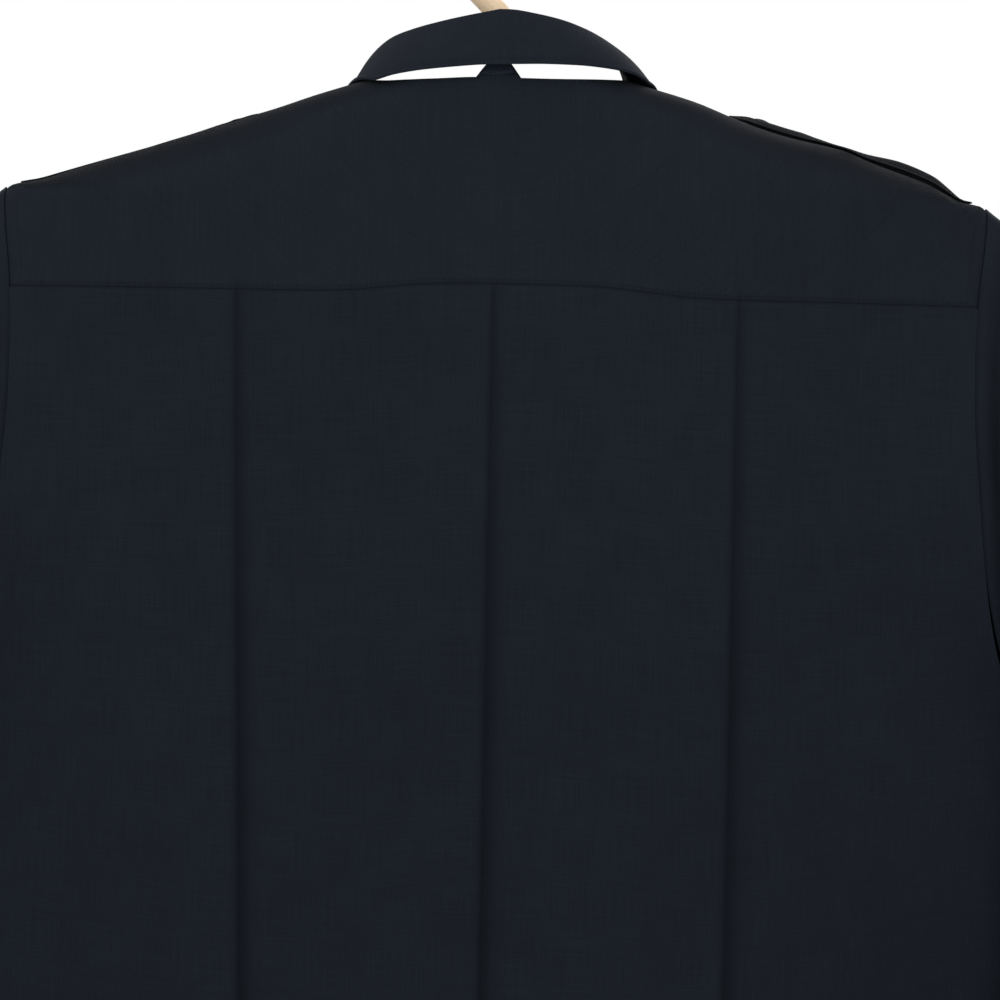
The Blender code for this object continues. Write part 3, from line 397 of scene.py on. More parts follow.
    def cloth_points(self, angle: Array, drop: Array, lift: float, folded: bool = True) -> Array:
        """Points of the cloth at a height above the inner face of the torso's wall.

        Args:
            angle: Ring angles.
            drop: Places down.
            lift: Height above the inner face.
            folded: Whether folds and creases move the points.

        Returns:
            The plain surface moved out along its direction by the lift and the relief.
        """
        angle, drop = np.broadcast_arrays(np.asarray(angle, float), np.asarray(drop, float))
        base = self.section(angle, drop)
        height = np.full(angle.shape, float(lift))
        if folded:
            height = height + self.relief(base[..., 0], drop, np.cos(angle) >= 0)
        return base + self.normal(angle, drop) * height[..., None]

    def angle_at(self, x: Array, drop: Array, behind: bool) -> Array:
        """The ring angle of the point at x, from the arc sine of x over the half width.

        Args:
            x: Distances to the wearer's left.
            drop: Drops.
            behind: Whether the point is on the back.

        Returns:
            Ring angles.
        """
        ratio = np.clip(np.asarray(x, float) / self.rings.at("half_width", drop), -1, 1)
        back = np.arcsin(ratio)
        return back if behind else np.where(ratio >= 0, math.pi - back, -math.pi - back)

    def yoke_seam(self, x: Array) -> Array:
        """Drop of the seam between the yoke and the back, higher over a flat stretch right of centre."""
        middle, half_width, rise = self.seam_peak
        return self.yoke_corner_drop - rise * np.exp(-(((np.asarray(x) - middle) / half_width) ** 4))

    def hem_drop(self, angle: Array) -> Array:
        """Drop of the shirt-tail hem, which rises to the sides with |sin(angle)|^3.5."""
        return self.hem_centre_drop - self.hem_side_rise * np.abs(np.sin(angle)) ** 3.5

    def neckline(self) -> tuple[Array, Array, Array, int]:
        """The half neckline from centre back to centre front.

        Returns:
            The length run so far, the angle and the drop of each point, and the first point on the front.
        """
        angles, drops = [], []
        for points, behind in ((self.back_neckline, True), (self.front_neckline, False)):
            for x, drop in points:
                angles.append(float(self.angle_at(x, drop, behind)) if x else (0.0 if behind else math.pi))
                drops.append(drop)
        points = self.section(np.array(angles), np.array(drops))
        run = np.concatenate([[0], np.cumsum(np.linalg.norm(np.diff(points, axis=0), axis=1))])
        return run, np.array(angles), np.array(drops), len(self.back_neckline)

    def neck_point(self, run: Array) -> tuple[Array, Array]:
        """Angle and drop on the neckline at a length from centre back."""
        runs, angles, drops, _ = self.neckline()
        return monotone_cubic(runs, angles, run), monotone_cubic(runs, drops, run)

    def front_seam(self, share: Array) -> tuple[Array, Array]:
        """Angle and drop of a front's seam with the yoke, at shares of the way from neck to armhole.

        Args:
            share: Shares of the way.

        Returns:
            Ring angles and drops.
        """
        _, angles, drops, corner = self.neckline()
        end = self.front_corner_drop
        end_angle = float(self.angle_at(self.armhole.at("front_x", end), end, False))
        angle = angles[corner] + (end_angle - angles[corner]) * share
        return angle, drops[corner] + (end - drops[corner]) * share

    def front_top(self, x: Array) -> Array:
        """Drop of a front's upper edge: the neckline near the middle, then the seam with the yoke.

        Args:
            x: Distances from the middle.

        Returns:
            Drops.
        """
        points = np.array(self.front_neckline[::-1])
        neck = monotone_cubic(points[:, 0], points[:, 1], x)
        seam_angle, seam_drop = self.front_seam(np.linspace(0, 1, 60))
        seam_x = self.rings.at("half_width", seam_drop) * np.sin(seam_angle)
        seam = np.interp(x, seam_x, seam_drop) + 2 * self.seam_gap
        return np.where(np.asarray(x) < self.front_neckline[0][0] - 0.1, neck, seam)

    def on_side(self, angle: Array, drop: Array, side: Side) -> tuple[Array, Array]:
        """Points and directions of the surface on one side, turned over to the wearer's left."""
        angle = angle * side.value
        return self.section(angle, drop) * side.mirror, self.normal(angle, drop) * side.mirror

    def ridge_place(self, x: Array, y: Array) -> tuple[Array, Array]:
        """Angle and drop of the surface over a place seen from above, near the shoulder ridge.

        Args:
            x: Distance from the middle.
            y: Distance behind the ridge.

        Returns:
            The ring whose half width, at that depth, reaches x, and the angle on it.
        """
        drops = np.linspace(self.neck_side_drop, 280.0, 400)
        widths = self.rings.at("half_width", drops)
        depth = np.where(y >= 0, self.ridge_back, self.ridge_front)
        rest = (1 - (np.abs(y) / depth) ** self.power) ** (1 / self.power)
        drop = np.interp(x / rest, widths, drops)
        across = np.arcsin(np.clip(x / self.rings.at("half_width", drop), -1, 1))
        return np.where(y >= 0, across, math.pi - across), drop


FORM = TorsoForm()


def grid_normals(points: Array, around: bool = False) -> Array:
    """Unit normals of a grid, from the cross product of the differences between neighbours.

    Args:
        points: The grid.
        around: Whether its rows close on themselves.

    Returns:
        One unit vector for each point.
    """
    down = np.gradient(points, axis=0)
    along = np.roll(points, -1, 1) - np.roll(points, 1, 1) if around else np.gradient(points, axis=1)
    return unit(np.cross(down, along))


def arc_uv(points: Array, around: bool = False) -> Array:
    """Cloth coordinates in metres: length along each row from its middle, and length down from the top.

    Args:
        points: A grid of points in millimetres.
        around: Whether the rows close on themselves.

    Returns:
        A grid of (u, v).
    """
    along = np.linalg.norm(np.diff(points, axis=1), axis=-1)
    u = np.concatenate([np.zeros((len(points), 1)), np.cumsum(along, 1)], 1)
    if not around:
        u -= u[:, points.shape[1] // 2 : points.shape[1] // 2 + 1]
    down = np.linalg.norm(np.diff(points, axis=0), axis=-1)
    v = np.concatenate([np.zeros((1, points.shape[1])), np.cumsum(down, 0)], 0)
    return np.stack([u, -v], -1) * MM


def quads(rows: int, columns: int, around: bool, kept: Array | None) -> Array:
    """Corner indices of a grid's cells, going round each cell the same way.

    Args:
        rows: Number of rows.
        columns: Number of columns.
        around: Whether the rows close on themselves.
        kept: Which cells there are, where some are open.

    Returns:
        Four indices for each cell.
    """
    i, j = np.meshgrid(np.arange(rows - 1), np.arange(columns if around else columns - 1), indexing="ij")
    i, j = i.ravel(), j.ravel()
    if kept is not None:
        i, j = i[kept.ravel()], j[kept.ravel()]
    after = (j + 1) % columns
    row, below = i * columns, (i + 1) * columns
    return np.stack([row + j, below + j, below + after, row + after], 1)


def open_edges(skin: Array) -> tuple[Array, Array]:
    """The edges that only one cell uses.

    Args:
        skin: Corner indices of the cells.

    Returns:
        The edges in their cell's direction, and the cell of each.
    """
    edges = np.concatenate([skin[:, [k, (k + 1) % 4]] for k in range(4)])
    owner = np.tile(np.arange(len(skin)), 4)
    key = np.sort(edges, 1)
    key = key[:, 0] * (skin.max() + 1) + key[:, 1]
    _, first, count = np.unique(key, return_index=True, return_counts=True)
    lone = np.sort(first[count == 1])
    return edges[lone], owner[lone]


def linked(name: str, data: bpy.types.ID) -> bpy.types.Object:
    """A new object in the scene, with the given mesh, lamp or camera.

    Args:
        name: The object's name.
        data: What it shows or does.

    Returns:
        The object.
    """
    made = bpy.data.objects.new(name, data)
    bpy.context.scene.collection.objects.link(made)
    return made


def make_mesh(
    name: str, points: Array, faces: list, uv: Array | None = None, sharp: float = 40.0
) -> bpy.types.Object:
    """A smooth-shaded mesh object at the origin.

    Args:
        name: The piece's name.
        points: Points in millimetres.
        faces: Corner indices of each face.
        uv: Cloth coordinates of each point.
        sharp: Edges that bend more than this many degrees stay sharp.

    Returns:
        The object, with its faces pointing outwards.
    """
    mesh = bpy.data.meshes.new(name)
    mesh.from_pydata((np.asarray(points, float) * MM).tolist(), [], faces)
    if uv is not None:
        layer = mesh.uv_layers.new(name="cloth")
        corner = np.zeros(len(mesh.loops), np.int32)
        mesh.loops.foreach_get("vertex_index", corner)
        layer.data.foreach_set("uv", np.asarray(uv, np.float32)[corner].ravel())
    shape = bmesh.new()
    shape.from_mesh(mesh)
    bmesh.ops.recalc_face_normals(shape, faces=shape.faces)
    shape.to_mesh(mesh)
    shape.free()
    mesh.shade_smooth()
    mesh.set_sharp_from_angle(angle=math.radians(sharp))
    return linked(name, mesh)


def shell(
    name: str,
    outer: Array,
    thick: float,
    around: bool = False,
    kept: Array | None = None,
    flip: bool = False,
    shade: Array | float = 0.0,
) -> bpy.types.Object:
    """A thin closed shell of cloth with a rounded edge.

    Args:
        name: The piece's name.
        outer: Grid of points of the outer face.
        thick: Thickness of the cloth.
        around: Whether the rows close on themselves.
        kept: Which cells there are, where some are open.
        flip: Whether the grid's own normals point inwards.
        shade: Painted shade, as how much darker each point is, and painted light where it is below zero, kept
            on the mesh as an attribute for the finish.

    Returns:
        The mesh object: the outer grid, the same grid moved in along its normals, and between their open
        edges a row that bulges outwards.
    """
    normal = grid_normals(outer, around) * (-1 if flip else 1)
    inner = outer - normal * thick
    rows, columns = outer.shape[:2]
    count = rows * columns
    skin = quads(rows, columns, around, kept)
    edges, owner = open_edges(skin)
    flat_outer, flat_inner = outer.reshape(-1, 3), inner.reshape(-1, 3)
    middle = (flat_outer + flat_inner) / 2
    away = np.zeros((count, 3))
    push = middle[edges].mean(1) - middle[skin[owner]].mean(1)
    for end in (0, 1):
        np.add.at(away, edges[:, end], unit(push))
    rim = np.unique(edges)
    wall = np.linalg.norm(flat_outer[rim] - flat_inner[rim], axis=1, keepdims=True)
    points = np.concatenate([flat_outer, flat_inner, middle[rim] + unit(away[rim]) * wall * 0.5])
    place = np.zeros(count, int)
    place[rim] = np.arange(len(rim)) + 2 * count
    a, b = edges[:, 0], edges[:, 1]
    faces = np.concatenate([
        skin,
        skin[:, ::-1] + count,
        np.stack([b, a, place[a], place[b]], 1),
        np.stack([place[b], place[a], a + count, b + count], 1),
    ])
    uv = arc_uv(outer, around).reshape(-1, 2)
    uv = np.concatenate([uv, uv, uv[rim]])
    used = np.unique(faces)
    renumber = np.zeros(len(points), int)
    renumber[used] = np.arange(len(used))
    made = make_mesh(name, points[used], renumber[faces].tolist(), uv[used])
    values = np.broadcast_to(np.asarray(shade, np.float32), (rows, columns)).reshape(-1)
    values = np.concatenate([values, values, values[rim]])[used]
    made.data.attributes.new("shade", "FLOAT", "POINT").data.foreach_set("value", values)
    return made


# Node groups and finishes.


class Nodes:
    """A node tree with short ways to add and join nodes."""

    def __init__(self, tree: bpy.types.NodeTree) -> None:
        """Keeps the tree that nodes are added to."""
        self.tree = tree

    def add(self, kind: str, inputs: dict | None = None, **settings: object) -> bpy.types.Node:
        """Adds a node.

        Args:
            kind: Blender's name for the node type.
            inputs: Values or output sockets, by socket name or number.
            **settings: Settings of the node itself.

        Returns:
            The node.
        """
        node = self.tree.nodes.new(kind)
        for name, value in settings.items():
            setattr(node, name, value)
        for name, value in (inputs or {}).items():
            if isinstance(value, bpy.types.NodeSocket):
                self.tree.links.new(value, node.inputs[name])
            else:
                node.inputs[name].default_value = value
        return node

    def link(self, source: bpy.types.NodeSocket, target: bpy.types.NodeSocket) -> None:
        """Joins an output to an input."""
        self.tree.links.new(source, target)

    def noise(
        self, place: object, scale: float, detail: float, roughness: float = 0.5
    ) -> bpy.types.NodeSocket:
        """The strength of a noise texture, from 0 to 1, over a place."""
        inputs = {"Vector": place, "Scale": scale, "Detail": detail, "Roughness": roughness}
        return self.add("ShaderNodeTexNoise", inputs).outputs["Fac"]

    def scaled(self, vector: object, factor: object) -> bpy.types.NodeSocket:
        """A vector or colour times a number."""
        return self.add("ShaderNodeVectorMath", {0: vector, 3: factor}, operation="SCALE").outputs[0]

    def stretched(self, vector: object, factors: tuple[float, float, float]) -> bpy.types.NodeSocket:
        """A vector times one factor for each axis."""
        return self.add("ShaderNodeVectorMath", {0: vector, 1: factors}, operation="MULTIPLY").outputs[0]

    def math(self, operation: str, *values: object) -> bpy.types.NodeSocket:
        """The output of a Math node on the given values or sockets."""
        return self.add("ShaderNodeMath", dict(enumerate(values)), operation=operation).outputs[0]


def group_tree(
    name: str, inputs: dict[str, tuple], outputs: tuple[str, ...]
) -> tuple[Nodes, dict, bpy.types.Node]:
    """A new shader node group.

    Args:
        name: The group's name.
        inputs: Socket type and starting value by input name.
        outputs: Names of the outputs, all plain numbers.

    Returns:
        The group's nodes, its inputs' sockets by name, and its output node.
    """
    tree = bpy.data.node_groups.new(name, "ShaderNodeTree")
    for label, (kind, start) in inputs.items():
        socket = tree.interface.new_socket(label, in_out="INPUT", socket_type=kind)
        if start is not None:
            socket.default_value = start
    for label in outputs:
        tree.interface.new_socket(label, in_out="OUTPUT", socket_type="NodeSocketFloat")
    nodes = Nodes(tree)
    source = nodes.add("NodeGroupInput")
    return nodes, {label: source.outputs[label] for label in inputs}, nodes.add("NodeGroupOutput")


def twill_group() -> bpy.types.NodeTree:
    """Twill weave: ridges along a diagonal, cut into threads by rows across them.

    Returns:
        The group. Height is |sin| of the diagonal phase times a softer |sin| of the row phase, and Tone
        varies slowly along the threads.
    """
    if "twill_weave" in bpy.data.node_groups:
        return bpy.data.node_groups["twill_weave"]
    nodes, source, out = group_tree(
        "twill_weave",
        {
            "Vector": ("NodeSocketVector", None),
            "Threads per metre": ("NodeSocketFloat", 2000.0),
            "Slub": ("NodeSocketFloat", 0.3),
        },
        ("Height", "Tone"),
    )
    threads = nodes.scaled(source["Vector"], source["Threads per metre"])
    parts = nodes.add("ShaderNodeSeparateXYZ", {0: threads})
    diagonal = nodes.math("ADD", parts.outputs[0], nodes.math("MULTIPLY", parts.outputs[1], 0.55))
    ridge, row = (
        nodes.math("ABSOLUTE", nodes.math("SINE", nodes.math("MULTIPLY", phase, math.pi * 0.5)))
        for phase in (diagonal, parts.outputs[1])
    )
    height = nodes.math("MULTIPLY", ridge, nodes.math("MULTIPLY_ADD", row, 0.4, 0.6))
    nodes.link(height, out.inputs["Height"])
    warp, weft = (
        nodes.noise(nodes.stretched(threads, along), 0.6, 2.0)
        for along in ((0.9, 0.025, 1.0), (0.025, 0.9, 1.0))
    )
    slub = nodes.math("SUBTRACT", nodes.math("ADD", warp, weft), 1.0)
    slub = nodes.math("MULTIPLY", slub, source["Slub"])
    tone = nodes.math("ADD", slub, nodes.math("MULTIPLY", height, 0.25))
    nodes.link(nodes.math("ADD", tone, 0.85), out.inputs["Tone"])
    return nodes.tree


def mottle_group() -> bpy.types.NodeTree:
    """Uneven tone of worn, pressed cloth: broad soft patches and smaller ones over them.

    Returns:
        The group. Tone is 1 plus Amount times the two noises about zero, and Crumple is a height.
    """
    if "cloth_mottle" in bpy.data.node_groups:
        return bpy.data.node_groups["cloth_mottle"]
    nodes, source, out = group_tree(
        "cloth_mottle",
        {"Vector": ("NodeSocketVector", None), "Amount": ("NodeSocketFloat", 0.2)},
        ("Tone", "Crumple"),
    )
    broad = nodes.math("MULTIPLY", nodes.noise(source["Vector"], 7.0, 3.0), 1.1)
    fine = nodes.math("MULTIPLY", nodes.noise(source["Vector"], 45.0, 4.0), 0.9)
    uneven = nodes.math("SUBTRACT", nodes.math("ADD", broad, fine), 1.0)
    nodes.link(nodes.math("MULTIPLY_ADD", uneven, source["Amount"], 1.0), out.inputs["Tone"])
    nodes.link(nodes.noise(source["Vector"], 26.0, 2.5, 0.45), out.inputs["Crumple"])
    return nodes.tree


@dataclass(frozen=True)
class Finish:
    """What all finishes share: a name, a material slot, a roughness and a gloss."""

    name: str
    slot: str
    roughness: float
    specular: float

    def material(self) -> bpy.types.Material:
        """The finish as a material, made once."""
        if self.name in bpy.data.materials:
            return bpy.data.materials[self.name]
        made = bpy.data.materials.new(self.name)
        made.use_nodes = True
        shader = made.node_tree.nodes["Principled BSDF"]
        shader.inputs["Roughness"].default_value = self.roughness
        shader.inputs["Specular IOR Level"].default_value = self.specular
        nodes = Nodes(made.node_tree)
        self.fill(nodes, shader, nodes.add("ShaderNodeTexCoord").outputs["Object"])
        return made

    def fill(self, nodes: Nodes, shader: bpy.types.Node, place: bpy.types.NodeSocket) -> None:
        """Adds the finish's own nodes.

        Args:
            nodes: The material's nodes.
            shader: The shader that they feed.
            place: Places in the piece's own coordinates.
        """
        raise NotImplementedError


@dataclass(frozen=True)
class ClothFinish(Finish):
    """Dark twill with a slight nap."""

    name: str = "navy_twill"
    slot: str = "navy_cloth"
    roughness: float = 0.86
    specular: float = 0.05
    colour: tuple[float, float, float] = (0.0092, 0.0120, 0.0171)
    threads: float = 2200.0
    weave_depth: float = 0.00009
    slub: float = 0.34
    mottle: float = 0.24
    crumple: float = 0.0010
    sheen: float = 0.008
    sheen_roughness: float = 0.45
    sheen_tint: tuple[float, float, float] = (0.75, 0.85, 1.0)

    def fill(self, nodes: Nodes, shader: bpy.types.Node, place: bpy.types.NodeSocket) -> None:
        """Navy times the tones of the weave, the mottle and the painted shade held in the shade attribute,
        over a twill bump.
        """
        weave = nodes.add("ShaderNodeGroup", node_tree=twill_group())
        mottle = nodes.add("ShaderNodeGroup", node_tree=mottle_group())
        nodes.link(nodes.add("ShaderNodeUVMap", uv_map="cloth").outputs["UV"], weave.inputs["Vector"])
        weave.inputs["Threads per metre"].default_value = self.threads
        weave.inputs["Slub"].default_value = self.slub
        nodes.link(place, mottle.inputs["Vector"])
        mottle.inputs["Amount"].default_value = self.mottle
        shade = nodes.add("ShaderNodeAttribute", attribute_name="shade", attribute_type="GEOMETRY")
        # Painted shade from the attribute darkens the colour here, and painted light brightens it where the
        # attribute is below zero.
        kept = nodes.math("SUBTRACT", 1.0, shade.outputs["Fac"])
        tone = nodes.math("MULTIPLY", weave.outputs["Tone"], mottle.outputs["Tone"])
        tone = nodes.math("MULTIPLY", tone, kept)
        nodes.link(nodes.scaled(self.colour, tone), shader.inputs["Base Color"])
        rough = nodes.math("MULTIPLY_ADD", weave.outputs["Height"], -0.12, self.roughness + 0.06)
        nodes.link(rough, shader.inputs["Roughness"])
        crumple = nodes.add(
            "ShaderNodeBump",
            {"Height": mottle.outputs["Crumple"], "Distance": self.crumple, "Strength": 0.6},
        )
        bump = nodes.add(
            "ShaderNodeBump",
            {"Height": weave.outputs["Height"], "Distance": self.weave_depth, "Normal": crumple.outputs[0]},
        )
        nodes.link(bump.outputs[0], shader.inputs["Normal"])
        shader.inputs["Sheen Weight"].default_value = self.sheen
        shader.inputs["Sheen Roughness"].default_value = self.sheen_roughness
        shader.inputs["Sheen Tint"].default_value = (*self.sheen_tint, 1.0)


@dataclass(frozen=True)
class ThreadFinish(Finish):
    """Spun sewing thread."""

    name: str = "navy_thread"
    slot: str = "navy_cloth"
    roughness: float = 0.8
    specular: float = 0.06
    colour: tuple[float, float, float] = (0.0096, 0.0122, 0.0174)

    def fill(self, nodes: Nodes, shader: bpy.types.Node, place: bpy.types.NodeSocket) -> None:
        """Navy with a fine uneven tone."""
        tone = nodes.math("MULTIPLY_ADD", nodes.noise(place, 900.0, 2.0), 0.5, 0.75)
        nodes.link(nodes.scaled(self.colour, tone), shader.inputs["Base Color"])


@dataclass(frozen=True)
class ButtonFinish(Finish):
    """Moulded resin with a soft polish."""

    name: str = "navy_resin"
    slot: str = "navy_button"
    roughness: float = 0.3
    specular: float = 0.35
    colour: tuple[float, float, float] = (0.0080, 0.0092, 0.0135)

    def fill(self, nodes: Nodes, shader: bpy.types.Node, place: bpy.types.NodeSocket) -> None:
        """Dark resin, clouded, with a finely worn gloss."""
        tone = nodes.math("MULTIPLY_ADD", nodes.noise(place, 160.0, 3.0), 0.9, 0.6)
        nodes.link(nodes.scaled(self.colour, tone), shader.inputs["Base Color"])
        rough = nodes.math("MULTIPLY_ADD", nodes.noise(place, 700.0, 4.0), 0.25, self.roughness - 0.1)
        nodes.link(rough, shader.inputs["Roughness"])


@dataclass(frozen=True)
class WoodFinish(Finish):
    """Pale lacquered wood with a fine straight grain."""

    name: str = "pale_wood"
    slot: str = "hanger_beige"
    roughness: float = 0.38
    specular: float = 0.4
    light: tuple[float, float, float] = (0.86, 0.70, 0.50)
    dark: tuple[float, float, float] = (0.66, 0.47, 0.28)

    def fill(self, nodes: Nodes, shader: bpy.types.Node, place: bpy.types.NodeSocket) -> None:
        """Noise stretched along the piece, between two tones."""
        along = nodes.add("ShaderNodeUVMap", uv_map="cloth").outputs["UV"]
        stretched = nodes.add("ShaderNodeMapping", {"Vector": along, "Scale": (700.0, 22.0, 1.0)})
        grain = nodes.noise(stretched.outputs[0], 1.0, 5.0)
        mixed = nodes.add(
            "ShaderNodeMix", {0: grain, 6: (*self.light, 1.0), 7: (*self.dark, 1.0)}, data_type="RGBA"
        )
        nodes.link(mixed.outputs[2], shader.inputs["Base Color"])
        nodes.link(nodes.math("MULTIPLY_ADD", grain, 0.2, self.roughness - 0.1), shader.inputs["Roughness"])
        bump = nodes.add("ShaderNodeBump", {"Height": grain, "Distance": 0.0001, "Strength": 0.5})
        nodes.link(bump.outputs[0], shader.inputs["Normal"])


CLOTH = ClothFinish()
THREAD = ThreadFinish()
RESIN = ButtonFinish()
WOOD = WoodFinish()


def dress(piece: bpy.types.Object, finish: Finish, *nodes: str) -> bpy.types.Object:
    """Gives a piece its finish, its body and the solids that it stands for.

    Args:
        piece: The finished mesh object.
        finish: The finish.
        *nodes: Names of the solids that it replaces.

    Returns:
        The piece.
    """
    piece.data.materials.append(finish.material())
    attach(piece, "root")
    if nodes:
        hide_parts(*nodes)
    triangles = sum(len(face.vertices) - 2 for face in piece.data.polygons)
    LOG.info("%s: %d triangles", piece.name, triangles)
    return piece


# Sewing.


@dataclass(frozen=True)
class Stitching:
    """Lockstitches along a line on the cloth."""

    pitch: float = 2.6
    filled: float = 0.74
    radius: float = 0.21
    sides: int = 5

    def along(self, lines: list[tuple[Array, Array]]) -> tuple[Array, list]:
        """Stitches along lines.

        Args:
            lines: Points and outward directions along each line, in millimetres.

        Returns:
            The points and faces of all stitches. Each is a short bar whose ends dip into the cloth: the
            middle of the bar is at the line, and its height falls with the square of the place along it.
        """
        place = np.array([-1.0, -0.55, 0.55, 1.0])
        width = np.array([0.35, 1.0, 1.0, 0.35])
        turn = np.linspace(0, math.tau, self.sides, endpoint=False)
        ring = np.arange(self.sides)
        after = (ring + 1) % self.sides
        cell = np.concatenate([
            np.stack([ring + k * self.sides, after + k * self.sides, after + (k + 1) * self.sides,
                      ring + (k + 1) * self.sides], 1)
            for k in range(len(place) - 1)
        ])
        all_points, all_faces, start = [], [], 0
        for points, normals in lines:
            run = np.concatenate([[0], np.cumsum(np.linalg.norm(np.diff(points, axis=0), axis=1))])
            count = max(1, int(run[-1] / self.pitch))
            centre = (np.arange(count) + 0.5) * run[-1] / count
            half = run[-1] / count * self.filled / 2
            spot = centre[:, None] + place * half
            at = np.stack([np.interp(spot, run, points[:, k]) for k in range(3)], -1)
            up = unit(np.stack([np.interp(spot, run, normals[:, k]) for k in range(3)], -1))
            ahead = unit(at[:, -1:] - at[:, :1])
            beside = np.cross(up, ahead)
            middle = at + up * (self.radius * (0.55 - 0.75 * place[None, :, None] ** 2))
            reach = width[None, :, None, None] * self.radius
            around = (
                beside[:, :, None] * np.cos(turn)[None, None, :, None]
                + up[:, :, None] * np.sin(turn)[None, None, :, None]
            )
            all_points.append((middle[:, :, None] + around * reach).reshape(-1, 3))
            block = len(place) * self.sides
            offset = start + np.arange(count)[:, None, None] * block
            all_faces += (cell[None] + offset).reshape(-1, 4).tolist()
            low = ring[::-1][None] + offset[:, 0]
            high = (ring + block - self.sides)[None] + offset[:, 0]
            all_faces += low.tolist() + high.tolist()
            start += count * block
        return np.concatenate(all_points), all_faces

    def sew(self, name: str, lines: list[tuple[Array, Array]]) -> bpy.types.Object:
        """One piece that holds the stitches of several lines."""
        points, faces = self.along(lines)
        return dress(make_mesh(name, points, faces), THREAD)


STITCH = Stitching()


def torso_line(angle: Array, drop: Array, lift: float, side: Side = Side.LEFT) -> tuple[Array, Array]:
    """Points and directions along a line on the torso.

    Args:
        angle: Ring angles of the line on the wearer's left.
        drop: Drops of the line.
        lift: Height above the torso's inner face.
        side: The side that it is made for.

    Returns:
        The points and the outward directions.
    """
    angle = np.asarray(angle, float) * side.value
    return FORM.cloth_points(angle, drop, lift), FORM.normal(angle, drop)


def cloth_area(piece: bpy.types.Object) -> float:
    """Half of a shell's area, in square metres.

    Args:
        piece: The shell.

    Returns:
        The area of one of its two faces.
    """
    sizes = np.zeros(len(piece.data.polygons))
    piece.data.polygons.foreach_get("area", sizes)
    return float(sizes.sum()) / 2


# The sub-assemblies.


